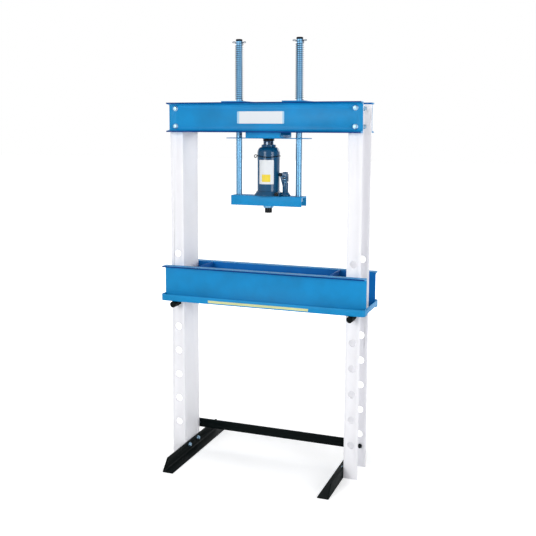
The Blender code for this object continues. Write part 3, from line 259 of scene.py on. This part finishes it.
def frame_bolt(place, direction, grip, flats=0.016):
    """A flanged bolt with its nut; the head is seated at a place and looks in a direction."""
    shank_radius = 0.005
    shank_top = 0.0005
    lead = 0.0007
    nut_end = -grip - 0.008
    end = nut_end - 0.003
    rim = flats * 0.656
    dome_foot = 0.0078
    dome_top = 0.0083
    edge = 0.0006
    flange = [(0.0, 0.0), (rim, 0.0), (rim, 0.0008), (rim * 0.84, 0.0021), (0.0, 0.0024)]
    shank = [(0.0, end), (shank_radius - lead, end), (shank_radius, end + lead)]
    shank += [(shank_radius, shank_top), (0.0, shank_top)]
    dome = [(0.0, dome_foot), (flats * 0.44, dome_foot), (flats * 0.36, dome_top), (0.0, dome_top)]
    parts = [
        turned(flange),
        turned(shank),
        turned(dome),
        hexagon(flats, 0.0020, 0.0080, edge),
        hexagon(flats, nut_end, -grip, edge),
    ]
    return stood(gathered(parts), place, direction)


zinc = metal("zinc_plate", (0.27, 0.41, 0.53), 0.40, scale=240.0, streaks=0.10)
black_zinc = enamel("blackened_steel", (0.003, 0.005, 0.007), 0.32, clouds=0.2, shine=0.12)
seat_gap = 0.0003
upright_low, upright_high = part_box("upright_right")
middle = (upright_low.y + upright_high.y) / 2
flange_face = (upright_high.y - upright_low.y) / 2

foot_leg = 0.0053
foot_bolt_x = upright_low.x - seat_gap - foot_leg
foot_bolt_reach = 0.041
foot_bolt_height = 0.030
foot_bolts = []
for side in (-1, 1):
    for reach in (-foot_bolt_reach, foot_bolt_reach):
        seat = (side * foot_bolt_x, middle + reach, foot_bolt_height)
        foot_bolts.append(frame_bolt(seat, (-side, 0, 0), grip=0.0129, flats=0.0135))
fitted(gathered(foot_bolts), "foot_bolts", zinc, "frame")

bar_bolt_x = 0.375
bar_low, bar_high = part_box("rear_cross_bar")
bar_bolts = []
for side in (-1, 1):
    seat = (side * bar_bolt_x, bar_high.y + seat_gap, (bar_low.z + bar_high.z) / 2)
    bar_bolts.append(frame_bolt(seat, (0, 1, 0), grip=0.0149))
fitted(gathered(bar_bolts), "cross_bar_bolts", black_zinc, "frame")

# Top beam: one rolled channel bolted to the front of the uprights and one to the rear, open sides
# out, in bright blue enamel, each on four of the frame bolts.
blue_enamel = enamel("blue_enamel", (0.002, 0.232, 0.520), 0.44, clouds=0.12, shine=0.20)
# Painted shade on the flange toes: a darker blue for the toe faces.
toe_painted_shade_enamel = enamel(
    "toe_painted_shade_enamel", (0.004, 0.045, 0.210), 0.55, clouds=0.20, shine=0.06
)
# Painted shade inside the channels: a darker blue for the inner faces of the webs.
inner_painted_shade_enamel = enamel(
    "inner_painted_shade_enamel", (0.002, 0.130, 0.430), 0.55, clouds=0.15, shine=0.10
)


def rolled_channel(node, name, body):
    """A blue channel piece with painted shade: darker on its toes and inside its web."""
    shape = from_solid(node, edge=0.0008)
    low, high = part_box(node)
    toe_width = 0.0028
    web_skin = 0.0004
    toes = max(high.y - middle, middle - low.y) - toe_width
    web_inside = min(abs(high.y - middle), abs(low.y - middle)) + web_skin
    for part in shape.faces:
        reach = abs(part.calc_center_median().y - middle)
        if reach > toes:
            # Toe faces: painted shade.
            part.material_index = 1
        elif reach < web_inside:
            # Inner web faces: painted shade.
            part.material_index = 2
    piece = fitted(shape, name, blue_enamel, body, [node])
    piece.data.materials.append(toe_painted_shade_enamel)
    piece.data.materials.append(inner_painted_shade_enamel)


beam_web = 0.0067
for face, way in (("front", -1), ("rear", 1)):
    beam = f"top_beam_{face}"
    rolled_channel(beam, f"{beam}_channel", "frame")
    names = [f"{beam}_bolt_{hand}_{row}" for hand in ("left", "right") for row in ("low", "high")]
    seat_y = middle + way * (flange_face + seat_gap + beam_web + seat_gap)
    bolts = []
    for name in names:
        low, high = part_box(name)
        seat = ((low.x + high.x) / 2, seat_y, (low.z + high.z) / 2)
        bolts.append(frame_bolt(seat, (0, way, 0), grip=0.0156))
    fitted(gathered(bolts), f"{beam}_bolts", zinc, "frame", names)

# Name plate: a thin white sheet with a pale blue band down each end, stuck on the front beam's
# web. It is left bare.


def block(low, high):
    """A plain block between two corners."""
    shape = bmesh.new()
    bmesh.ops.create_cube(shape, size=1.0)
    bmesh.ops.scale(shape, verts=shape.verts, vec=Vector(high) - Vector(low))
    bmesh.ops.translate(shape, verts=shape.verts, vec=(Vector(high) + Vector(low)) / 2)
    return shape


def sheet_plate(low, high, corner, edge):
    """A thin plate between two corners that faces -Y, with its corners and edges rounded."""
    shape = block(low, high)
    corners = []
    for line in shape.edges:
        run = (line.verts[0].co - line.verts[1].co).normalized()
        if abs(run.y) > 0.9:
            corners.append(line)
    bmesh.ops.bevel(
        shape, geom=corners, offset=corner, segments=6, profile=0.5, affect="EDGES", material=-1
    )
    return eased(shape, edge, sharper=60.0, segments=1)


white_sheet = enamel("white_sheet", (0.73, 0.755, 0.78), 0.40, clouds=0.012)
pale_blue_sheet = enamel("pale_blue_sheet", (0.34, 0.58, 0.76), 0.30, clouds=0.02)
web_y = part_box("top_beam_front")[1].y - beam_web
plate_low = (-0.103, web_y - 0.0009, 1.375)
plate_high = (0.091, web_y - 0.0001, 1.422)
bands = (-0.094, 0.084)
plate = sheet_plate(plate_low, plate_high, corner=0.003, edge=0.0002)
for band_x in bands:
    geometry = list(plate.verts) + list(plate.edges) + list(plate.faces)
    bmesh.ops.bisect_plane(plate, geom=geometry, plane_co=(band_x, 0, 0), plane_no=(1, 0, 0))
for part in plate.faces:
    across = part.calc_center_median().x
    part.material_index = 1 if across < bands[0] or across > bands[1] else 0
plate_piece = fitted(plate, "name_plate", white_sheet, "frame")
plate_piece.data.materials.append(pale_blue_sheet)

# Head: a short heavy channel welded between the beams, open side up, that the jack's ram pushes
# on. Under it a flat strap guides the two rods, and on top of the beams two flat plates carry the
# springs.
for node in ("head_channel", "rod_guide_strap", "guide_plate_left", "guide_plate_right"):
    steel = from_solid(node, edge=0.0006)
    fitted(steel, f"{node}_steel", blue_enamel, "frame", [node])

# Ram: a ground and blackened bar with a turned saddle on top and a rubber cup at its foot. It
# stays up against the head while the jack's body goes down round it.


def centred(node):
    """The middle of a node in plan, its lowest and its highest point."""
    low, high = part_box(node)
    return Vector(((low.x + high.x) / 2, (low.y + high.y) / 2, 0.0)), low.z, high.z


def round_bar(radius, low, high):
    """The profile of a plain round bar."""
    return [(0.0, low), (radius, low), (radius, high), (0.0, high)]


ram_steel = metal(
    "ram_steel", (0.10, 0.13, 0.17), 0.16, grain=(1.0, 1.0, 12.0), scale=25.0, streaks=0.1
)
black_rubber = enamel("black_rubber", (0.006, 0.007, 0.010), 0.62, clouds=0.2, shine=0.06)

place, foot, top = centred("jack_ram")
ram = stood(turned(round_bar(0.021, foot, top), steps=96, edge=0.0008), place)
fitted(ram, "ram", ram_steel, "frame", ["jack_ram"])

place, foot, top = centred("jack_saddle")
saddle_radius = 0.02275
saddle_groove = saddle_radius - 0.0012
saddle_profile = [
    (0.0, foot),
    (saddle_radius, foot),
    (saddle_radius, foot + 0.003),
    (saddle_groove, foot + 0.0038),
    (saddle_groove, foot + 0.0046),
    (saddle_radius, foot + 0.0054),
    (saddle_radius, top),
    (0.0, top),
]
saddle = stood(turned(saddle_profile, steps=96, edge=0.0004), place)
fitted(saddle, "saddle", black_zinc, "frame", ["jack_saddle"])

place, foot, top = centred("piston_cup")
cup_hollow = 0.017
cup_lip = 0.0217
cup_profile = [
    (0.0, foot + 0.002),
    (cup_hollow, foot + 0.002),
    (cup_hollow + 0.001, foot),
    (cup_lip, foot),
    (cup_lip - 0.0005, top),
    (0.0, top),
]
cup = stood(turned(cup_profile, steps=64, edge=0.0003), place)
fitted(cup, "cup", black_rubber, "frame", ["piston_cup"])

# Bolster: a channel, open side down, that the jack stands on. A turned collar is welded under its
# middle and holds the black nose, and a nut under each end draws its rod down tight.
bolster_channel = from_solid("bolster", edge=0.0008)
fitted(bolster_channel, "bolster_channel", blue_enamel, "carriage", ["bolster"])

for hand in ("left", "right"):
    node = f"rod_nut_{hand}"
    place, foot, top = centred(node)
    rod_nut = stood(hexagon(0.030, foot, top, edge=0.0012), place)
    fitted(rod_nut, f"{node}_hexagon", zinc, "carriage", [node])


def ring(inner, outer, low, high):
    """The profile of a plain ring."""
    return [(inner, low), (outer, low), (outer, high), (inner, high)]


bright_steel = metal(
    "ground_steel", (0.105, 0.235, 0.370), 0.30, grain=(1.0, 1.0, 12.0), scale=30.0, streaks=0.04
)
place, foot, top = centred("nose_collar")
collar = stood(turned(ring(0.0102, 0.0205, foot, top), steps=96, edge=0.0009), place)
fitted(collar, "collar", bright_steel, "carriage", ["nose_collar"])

nose_seat = foot - seat_gap
nose_radius = 0.0145
spigot_radius = 0.0099
place, foot, top = centred("press_nose")
nose_profile = [
    (0.0, foot),
    (nose_radius, foot),
    (nose_radius, nose_seat),
    (spigot_radius, nose_seat),
    (spigot_radius, top),
    (0.0, top),
]
nose = stood(turned(nose_profile, steps=96, edge=0.0007), place)
fitted(nose, "nose", black_zinc, "carriage", ["press_nose"])

# Rods: ground bright bars with a threaded foot in the bolster. Each runs up through the strap and
# its guide plate and ends in a moulded black cap, with a washer and a split pin under the cap.


def wire(name, points, thickness, material, body, nodes=()):
    """A round wire bent along points, with closed ends, as a piece."""
    curve = bpy.data.curves.new(name, "CURVE")
    curve.dimensions = "3D"
    curve.bevel_depth = thickness / 2
    curve.bevel_resolution = 3
    curve.use_fill_caps = True
    spline = curve.splines.new("POLY")
    spline.points.add(len(points) - 1)
    for target, point in zip(spline.points, points):
        target.co = (*point, 1.0)
    holder = bpy.data.objects.new(name, curve)
    bpy.context.scene.collection.objects.link(holder)
    bpy.context.view_layer.update()
    drawn = holder.evaluated_get(bpy.context.evaluated_depsgraph_get())
    mesh = bpy.data.meshes.new_from_object(drawn)
    bpy.data.objects.remove(holder, do_unlink=True)
    shape = bmesh.new()
    shape.from_mesh(mesh)
    bpy.data.meshes.remove(mesh)
    bmesh.ops.remove_doubles(shape, verts=shape.verts, dist=0.000001)
    bmesh.ops.recalc_face_normals(shape, faces=shape.faces)
    return fitted(shape, name, material, body, nodes, smooth=50.0)


dull_zinc = metal("dull_zinc", (0.055, 0.075, 0.105), 0.36, scale=200.0, streaks=0.12)
rod_radius = 0.012
rod_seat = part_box("bolster")[1].z + seat_gap
thread_end = 0.0092
thread_crest = 0.0099
thread_root = 0.0090
thread_pitch = 0.002
cap_radius = 0.0130
cap_bore = rod_radius + 0.0002
cap_depth = 0.0065
pin_wire = 0.0024
pin_leg = pin_wire / 2
pin_eye = 0.0235
for hand in ("left", "right"):
    rod = f"rod_{hand}"
    place, foot, top = centred(rod)
    rod_profile = [(0.0, foot), (thread_end, foot)]
    for turn in range(round((rod_seat - foot - 0.004) / thread_pitch)):
        rod_profile.append((thread_crest, foot + thread_pitch / 2 + turn * thread_pitch))
        rod_profile.append((thread_root, foot + thread_pitch + turn * thread_pitch))
    rod_profile += [(thread_crest, rod_seat), (rod_radius, rod_seat), (rod_radius, top), (0.0, top)]
    bar = stood(turned(rod_profile, steps=64), place)
    fitted(bar, f"{rod}_bar", bright_steel, "carriage", [rod])

    node = f"rod_cap_{hand}"
    place, foot, top = centred(node)
    cap_profile = [
        (0.0, foot + cap_depth),
        (cap_bore, foot + cap_depth),
        (cap_bore, foot),
        (cap_radius - 0.0001, foot),
        (cap_radius, top - 0.0020),
        (cap_radius - 0.0012, top - 0.0004),
        (cap_radius - 0.0040, top),
        (0.0, top),
    ]
    cap = stood(turned(cap_profile, steps=64, edge=0.0002), place)
    fitted(cap, f"cap_{hand}", black_rubber, "carriage", [node])

    node = f"spring_washer_{hand}"
    place, foot, top = centred(node)
    washer = stood(turned(ring(0.0123, 0.017, foot, top), steps=64, edge=0.0003), place)
    fitted(washer, f"washer_{hand}", dull_zinc, "carriage", [node])

    # The pin's run from the tip of its bent leg, round its eye, to the tip of its straight leg, in
    # places to the right of the rod and above the line between the legs.
    pin_run = [(-0.0290, 0.0008), (-0.0250, 0.0032), (-0.0215, 0.0036), (-0.0175, 0.0024)]
    pin_run += [(-0.0145, pin_leg), (0.0150, pin_leg)]
    for step in range(13):
        angle = math.radians(160 - step * 320 / 12)
        pin_run.append((pin_eye + 0.0045 * math.cos(angle), 0.0024 * math.sin(angle)))
    pin_run += [(0.0150, -pin_leg), (-0.0145, -pin_leg), (-0.0200, -0.0010), (-0.0280, -0.0008)]
    pin_line = top + seat_gap + pin_wire
    pin_points = [(place.x + across, middle, pin_line + rise) for across, rise in pin_run]
    node = f"split_pin_{hand}"
    wire(f"pin_{hand}", pin_points, pin_wire, dull_zinc, "carriage", [node])

# Return springs: long coils of oiled wire round the rods, each between its guide plate and its
# washer, with both ends turned to meet their seats square.
spring_steel = enamel(
    "oiled_spring_steel", (0.002, 0.008, 0.026), 0.34, clouds=0.2, shine=0.12
)
coil_radius = 0.0149
coil_wire = 0.003
coil_curls = 28
points_per_curl = 28


def coil_points(line, bottom, top):
    """A coil between two heights, its ends turned up and down over one wire's width."""
    lift = 2 * coil_wire
    around = 2 * math.pi * coil_radius
    bend = [(0.0, 0.0)]
    for degrees in (0, 15, 30, 45, 60, 75, 90):
        angle = math.radians(degrees)
        bend.append((coil_wire * (1 - math.cos(angle)), coil_wire * (1 + math.sin(angle))))
    unrolled = list(bend)
    steps = coil_curls * points_per_curl
    for step in range(1, steps):
        share = step / steps
        run = coil_wire + share * coil_curls * around
        unrolled.append((run, lift + share * (top - bottom - 2 * lift)))
    end = 2 * coil_wire + coil_curls * around
    unrolled += [(end - run, top - bottom - rise) for run, rise in reversed(bend)]
    points = []
    for run, rise in unrolled:
        angle = run / coil_radius
        across = coil_radius * math.cos(angle)
        depth = coil_radius * math.sin(angle)
        points.append((line + across, middle + depth, bottom + rise))
    return points


for hand in ("left", "right"):
    node = f"return_spring_{hand}"
    foot, top = centred(node)[1:]
    line = centred(f"rod_{hand}")[0].x
    points = coil_points(line, foot, top)
    coil = wire(f"spring_{hand}", points, coil_wire, spring_steel, "frame", [node])
    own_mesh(coil)

# Jack body: a cast base, a drawn tank pressed down on it and closed by the neck nut, all in dark
# petrol blue enamel. The bright pressure cylinder and the wiper seal sit inside.
petrol_enamel = enamel(
    "petrol_enamel", (0.001, 0.062, 0.150), 0.20, clouds=0.12, coat=0.40, shine=0.08
)
jack_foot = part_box("jack_base")[0].z
jack_axis = Vector((0.0, middle, jack_foot))
pump_axis = Vector((centred("pump_plunger")[0].x, middle, jack_foot))
base_radius = 0.056
boss_radius = 0.021
base_profile = [
    (0.0, 0.0),
    (base_radius, 0.0),
    (base_radius, 0.004),
    (0.049, 0.014),
    (0.048, 0.018),
    (0.0, 0.018),
]
boss_profile = [(0.0, 0.0), (boss_radius, 0.0), (boss_radius, 0.004), (0.015, 0.014), (0.0, 0.014)]
base = stood(turned(base_profile, steps=96, edge=0.0009), jack_axis)
boss = stood(turned(boss_profile, steps=64, edge=0.0009), pump_axis)


def cast_block(low, high):
    """A cast lump between two corners, measured from the jack's axis, with rounded edges."""
    lump = block(jack_axis + Vector(low), jack_axis + Vector(high))
    return eased(lump, edge=0.0015, segments=3)


bridge = cast_block((0.030, -0.018, 0.0), (0.071, 0.018, 0.010))
valve_x = centred("release_valve")[0].x
valve_boss = cast_block((valve_x - 0.009, -0.042, 0.0), (valve_x + 0.009, 0.0, 0.015))
casting = gathered([base, boss, bridge, valve_boss])
fitted(casting, "base_casting", petrol_enamel, "carriage", ["jack_base"])

tank_radius = 0.0445
tank_bore = 0.0415
shoulder_start = jack_foot + 0.168
shoulder_reach = 0.0160
neck_hole = 0.0278
foot, top = centred("jack_tank")[1:]
tank_profile = [(tank_bore, foot), (tank_radius, foot)]
for step in range(17):
    angle = math.radians(step * 90 / 16)
    radius = tank_radius - shoulder_reach + shoulder_reach * math.cos(angle)
    tank_profile.append((radius, shoulder_start + (top - shoulder_start) * math.sin(angle)))
tank_profile += [(neck_hole, top), (neck_hole, top - 0.003), (tank_bore, jack_foot + 0.174)]
tank = stood(turned(tank_profile, steps=128), (0, middle, 0))
fitted(tank, "tank", petrol_enamel, "carriage", ["jack_tank"])

foot, top = centred("pressure_cylinder")[1:]
cylinder = stood(turned(ring(0.022, 0.0275, foot, top), steps=64, edge=0.0004), (0, middle, 0))
fitted(cylinder, "cylinder", bright_steel, "carriage", ["pressure_cylinder"])

neck_bore = 0.0215
neck_radius = 0.029
neck_groove = neck_radius - 0.0008
seal_bore = 0.0248
seal_seat = 0.004
place, foot, top = centred("neck_nut")
neck_profile = [
    (neck_bore, foot),
    (neck_radius, foot),
    (neck_radius, foot + 0.0025),
    (neck_groove, foot + 0.0031),
    (neck_groove, foot + 0.0037),
    (neck_radius, foot + 0.0043),
    (neck_radius, top - 0.0016),
    (neck_radius - 0.0018, top),
    (seal_bore, top),
    (seal_bore, top - seal_seat),
    (neck_bore, top - seal_seat),
]
neck = stood(turned(neck_profile, steps=96, edge=0.0002), place)
fitted(neck, "neck_ring", petrol_enamel, "carriage", ["neck_nut"])

seal_lip = 0.0213
seal_radius = 0.0245
place, foot, top = centred("wiper_seal")
seal_profile = [
    (seal_lip, foot),
    (seal_radius, foot),
    (seal_radius, foot + 0.0027),
    (seal_lip + 0.0005, top),
    (seal_lip, top),
]
seal = stood(turned(seal_profile, steps=96, edge=0.0002), place)
fitted(seal, "seal_ring", black_rubber, "carriage", ["wiper_seal"])

# Tank trim: a black wire sprung round the tank with an eye at its left, a bare white label with a
# yellow square, and the rubber plug of the filling hole on the far side.
trim_wire = 0.003
trim_line = jack_foot + 0.155
trim_radius = tank_radius + 0.0021
eye_radius = 0.0055
eye_x = trim_radius + trim_wire + eye_radius
trim_points = []
for step in range(25):
    share = step / 24
    angle = math.radians(25 + share * 310)
    across = -eye_x + eye_radius * math.cos(angle)
    depth = trim_wire * (1 - 2 * share)
    trim_points.append((across, middle + depth, trim_line + eye_radius * math.sin(angle)))
for step in range(73):
    angle = math.radians(190 + step / 72 * 329)
    across = trim_radius * math.cos(angle)
    depth = trim_radius * math.sin(angle)
    ripple = 0.0025 * math.sin(2.5 * (angle - math.pi))
    trim_points.append((across, middle + depth, trim_line + ripple))
wire("wire_ring", trim_points, trim_wire, black_enamel, "carriage", ["tank_wire"])


def tank_sheet(start, end, low, high, out):
    """A thin sheet wrapped on the tank between two bearings, in degrees from the front to +X."""
    shape = bmesh.new()
    radius = tank_radius + out
    first = math.radians(start - 90)
    across = radius * math.cos(first)
    depth = middle + radius * math.sin(first)
    points = [shape.verts.new((across, depth, low)), shape.verts.new((across, depth, high))]
    line = [shape.edges.new(points)]
    around = math.radians(end - start)
    bmesh.ops.spin(
        shape, geom=points + line, cent=(0, middle, 0), axis=(0, 0, 1), angle=around, steps=24
    )
    bmesh.ops.recalc_face_normals(shape, faces=shape.faces)
    panel = shape.faces[:][0]
    outward = panel.calc_center_median() - Vector((0, middle, 0))
    if panel.normal.dot(Vector((outward.x, outward.y, 0))) < 0:
        bmesh.ops.reverse_faces(shape, faces=shape.faces)
    bmesh.ops.solidify(shape, geom=shape.faces, thickness=0.0002)
    return shape


yellow_sheet = enamel("yellow_sheet", (0.80, 0.62, 0.06), 0.35, clouds=0.03)
label = tank_sheet(start=-33.0, end=47.5, low=1.139, high=1.234, out=0.0003)
fitted(label, "tank_label", white_sheet, "carriage")
label_square = tank_sheet(start=-15.0, end=29.5, low=1.148, high=1.177, out=0.0006)
fitted(label_square, "tank_label_square", yellow_sheet, "carriage")

plug_profile = [
    (0.0, -0.001),
    (0.0050, -0.001),
    (0.0052, 0.001),
    (0.0040, 0.0022),
    (0.0030, 0.0040),
    (0.0, 0.0045),
]
plug_place = (0.0, middle + tank_radius, jack_foot + 0.165)
plug = stood(turned(plug_profile, steps=32, edge=0.0003), plug_place, (0, 1, 0))
fitted(plug, "filler_plug", black_rubber, "carriage")

# Pump: a turned barrel with a forged lug, a bright plunger, and the handle socket that rocks on
# the lug's pin and lifts the plunger by a second pin. The release valve is a slotted screw in
# front.
barrel = from_solid("pump_barrel", edge=0.0005)
fitted(barrel, "barrel", petrol_enamel, "carriage", ["pump_barrel"])
socket = from_solid("handle_socket", edge=0.0004)
fitted(socket, "socket", petrol_enamel, "rocker", ["handle_socket"])
plunger = from_solid("pump_plunger", edge=0.0003)
fitted(plunger, "plunger", bright_steel, "plunger", ["pump_plunger"])

low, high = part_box("plunger_pin")
half = (high.y - low.y) / 2
lifting_bar = turned(round_bar(0.0025, -half, half), steps=32, edge=0.0004)
lifting_pin = stood(lifting_bar, (low + high) / 2, (0, 1, 0))
fitted(lifting_pin, "lifting_pin", black_zinc, "plunger", ["plunger_pin"])

low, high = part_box("pivot_pin")
pivot_place = ((low.x + high.x) / 2, middle, (low.z + high.z) / 2)
pivot_seat = 0.0103
pivot_end = -pivot_seat - 0.002
pivot_radius = 0.003
pivot_head = 0.0065
pivot_profile = [
    (0.0, pivot_end),
    (pivot_radius, pivot_end),
    (pivot_radius, pivot_seat),
    (pivot_head, pivot_seat),
    (pivot_head, pivot_seat + 0.0020),
    (pivot_head - 0.0007, pivot_seat + 0.0032),
    (pivot_head - 0.0030, pivot_seat + 0.0039),
    (0.0, pivot_seat + 0.0040),
]
pivot = stood(turned(pivot_profile, steps=48, edge=0.0002), pivot_place, (0, -1, 0))
fitted(pivot, "pivot", black_zinc, "carriage", ["pivot_pin"])
valve_screw = from_solid("release_valve", edge=0.0003)
fitted(valve_screw, "valve_screw", black_zinc, "valve", ["release_valve"])

# Bed: two deep channels back to back with the uprights between them, a skirt of angle iron bent
# round their foot, two end bars and two cross plates, welded and sprayed in the beam's blue. The
# cross plates down inside get a darker blue that is painted shade. A bare pale yellow strip is
# stuck on the skirt's front.
# The cross plates' darker blue is painted shade, for the shade down inside the bed.
plate_painted_shade_enamel = enamel(
    "plate_painted_shade_enamel", (0.004, 0.085, 0.300), 0.55, clouds=0.15, shine=0.06
)
for face in ("front", "rear"):
    rolled_channel(f"bed_channel_{face}", f"bed_channel_{face}_steel", "bed")
bed_coats = {
    "bed_skirt_front": blue_enamel,
    "bed_skirt_rear": blue_enamel,
    "bed_end_bar_left": blue_enamel,
    "bed_end_bar_right": blue_enamel,
    "bed_cross_plate_left": plate_painted_shade_enamel,
    "bed_cross_plate_right": plate_painted_shade_enamel,
}
for node, coat in bed_coats.items():
    steel = from_solid(node, edge=0.0008)
    fitted(steel, f"{node}_steel", coat, "bed", [node])

pale_yellow_sheet = enamel("pale_yellow_sheet", (0.60, 0.63, 0.32), 0.35, clouds=0.10)
skirt_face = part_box("bed_skirt_front")[0].y
strip_low = (-0.215, skirt_face - 0.0004, 0.6615)
strip_high = (0.205, skirt_face - 0.0001, 0.6715)
strip = sheet_plate(strip_low, strip_high, corner=0.001, edge=0.0001)
fitted(strip, "bed_strip", pale_yellow_sheet, "bed")

# Support pins: plain turned bars with chamfered ends, painted black and pushed through both
# flanges of each upright. The bed rests on them.
pin_radius = 0.0125
chamfer = 0.002
for hand in ("left", "right"):
    node = f"support_pin_{hand}"
    low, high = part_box(node)
    half = (high.y - low.y) / 2
    pin_profile = [
        (0.0, -half),
        (pin_radius - chamfer, -half),
        (pin_radius, -half + chamfer),
        (pin_radius, half - chamfer),
        (pin_radius - chamfer, half),
        (0.0, half),
    ]
    bar = stood(turned(pin_profile, steps=64, edge=0.0003), (low + high) / 2, (0, 1, 0))
    fitted(bar, f"{node}_bar", black_enamel, f"pin_{hand}", [node])

# Studio: a white paper floor that keeps the shadow and runs out into a white room, soft lamps on
# all sides, and the camera where the photograph was taken.
floor_reach = 30.0
floor_shape = bmesh.new()
bmesh.ops.create_grid(floor_shape, x_segments=1, y_segments=1, size=floor_reach)
floor_mesh = bpy.data.meshes.new("floor")
floor_shape.to_mesh(floor_mesh)
floor_shape.free()
floor = bpy.data.objects.new("floor", floor_mesh)
bpy.context.scene.collection.objects.link(floor)


def backdrop_rays(tree):
    """One for rays that look at the backdrop, mirror it or pass to it through glass, else nought."""
    rays = tree.nodes.new("ShaderNodeLightPath")
    mirrored = tree.nodes.new("ShaderNodeMath")
    mirrored.operation = "MAXIMUM"
    looked_at = tree.nodes.new("ShaderNodeMath")
    looked_at.operation = "MAXIMUM"
    tree.links.new(rays.outputs["Is Camera Ray"], mirrored.inputs[0])
    tree.links.new(rays.outputs["Is Glossy Ray"], mirrored.inputs[1])
    tree.links.new(mirrored.outputs["Value"], looked_at.inputs[0])
    tree.links.new(rays.outputs["Is Transmission Ray"], looked_at.inputs[1])
    return looked_at.outputs["Value"]


paper, nodes, links, paper_shader = fresh_material("white_paper")
paper_shader.inputs["Base Color"].default_value = (0.90, 0.90, 0.90, 1.0)
paper_shader.inputs["Roughness"].default_value = 0.9
paper_shader.inputs["Specular IOR Level"].default_value = 0.0
paper_shader.inputs["Emission Color"].default_value = (1.0, 1.0, 1.0, 1.0)
place = nodes.new("ShaderNodeTexCoord")
distance = nodes.new("ShaderNodeVectorMath")
distance.operation = "LENGTH"
fade = ranged(nodes, old=(0.25, 1.3), new=(0.33, 1.0))
seen = nodes.new("ShaderNodeMath")
seen.operation = "MULTIPLY"
links.new(place.outputs["Object"], distance.inputs[0])
links.new(distance.outputs["Value"], fade.inputs["Value"])
links.new(backdrop_rays(paper.node_tree), seen.inputs[0])
links.new(fade.outputs["Result"], seen.inputs[1])
links.new(seen.outputs["Value"], paper_shader.inputs["Emission Strength"])
floor_mesh.materials.append(paper)

world = bpy.data.worlds.new("studio")
bpy.context.scene.world = world
world.use_nodes = True
nodes = world.node_tree.nodes
links = world.node_tree.links
air = nodes["Background"]
air.inputs["Color"].default_value = (1.0, 1.0, 1.0, 1.0)
heading = nodes.new("ShaderNodeTexCoord")
parts = nodes.new("ShaderNodeSeparateXYZ")
room = ranged(nodes, old=(-0.7, 0.4), new=(0.44, 0.24))
level = nodes.new("ShaderNodeMix")
level.inputs["B"].default_value = 1.0
links.new(heading.outputs["Generated"], parts.inputs["Vector"])
links.new(parts.outputs["Y"], room.inputs["Value"])
links.new(backdrop_rays(world.node_tree), level.inputs["Factor"])
links.new(room.outputs["Result"], level.inputs["A"])
links.new(level.outputs["Result"], air.inputs["Strength"])


def softbox(name, place, aim, side, power):
    """A soft square lamp that looks at a point."""
    lamp = bpy.data.lights.new(name, "AREA")
    lamp.shape = "RECTANGLE"
    lamp.size = side
    lamp.size_y = side
    lamp.energy = power
    holder = bpy.data.objects.new(name, lamp)
    holder.location = place
    holder.rotation_euler = (Vector(aim) - Vector(place)).to_track_quat("-Z", "Y").to_euler()
    bpy.context.scene.collection.objects.link(holder)


softbox("front_left_lamp", (-1.4, -4.4, 2.0), aim=(0.0, 0.0, 0.9), side=1.8, power=85.0)
softbox("right_lamp", (4.3, -2.5, 1.5), aim=(0.0, 0.0, 0.7), side=2.0, power=98.0)
softbox("left_lamp", (-3.8, 0.9, 1.6), aim=(0.0, 0.0, 0.8), side=1.8, power=42.0)
softbox("top_lamp", (0.2, -0.2, 4.2), aim=(0.0, 0.0, 0.8), side=2.0, power=15.0)
softbox("rear_lamp", (1.5, 3.6, 2.6), aim=(0.0, 0.0, 0.8), side=2.2, power=62.0)

camera = bpy.data.cameras.new("camera")
camera.sensor_width = 36.0
camera.lens = 54.99
camera.shift_y = -0.0821
camera_place = Vector((1.1382, -3.0430 + middle, 1.3566))
yaw = 0.3584
pitch = 0.1162
roll = 0.0037
heading_x = -math.sin(yaw) * math.cos(pitch)
heading_y = math.cos(yaw) * math.cos(pitch)
ahead = Vector((heading_x, heading_y, -math.sin(pitch)))
level_right = Vector((math.cos(yaw), math.sin(yaw), 0.0))
level_up = level_right.cross(ahead)
right = math.cos(roll) * level_right + math.sin(roll) * level_up
up = -math.sin(roll) * level_right + math.cos(roll) * level_up
turn = Matrix((right, up, -ahead)).transposed()
camera_object = bpy.data.objects.new("camera", camera)
camera_object.matrix_world = Matrix.Translation(camera_place) @ turn.to_4x4()
bpy.context.scene.collection.objects.link(camera_object)
bpy.context.scene.camera = camera_object
bpy.context.scene.view_settings.view_transform = "Standard"
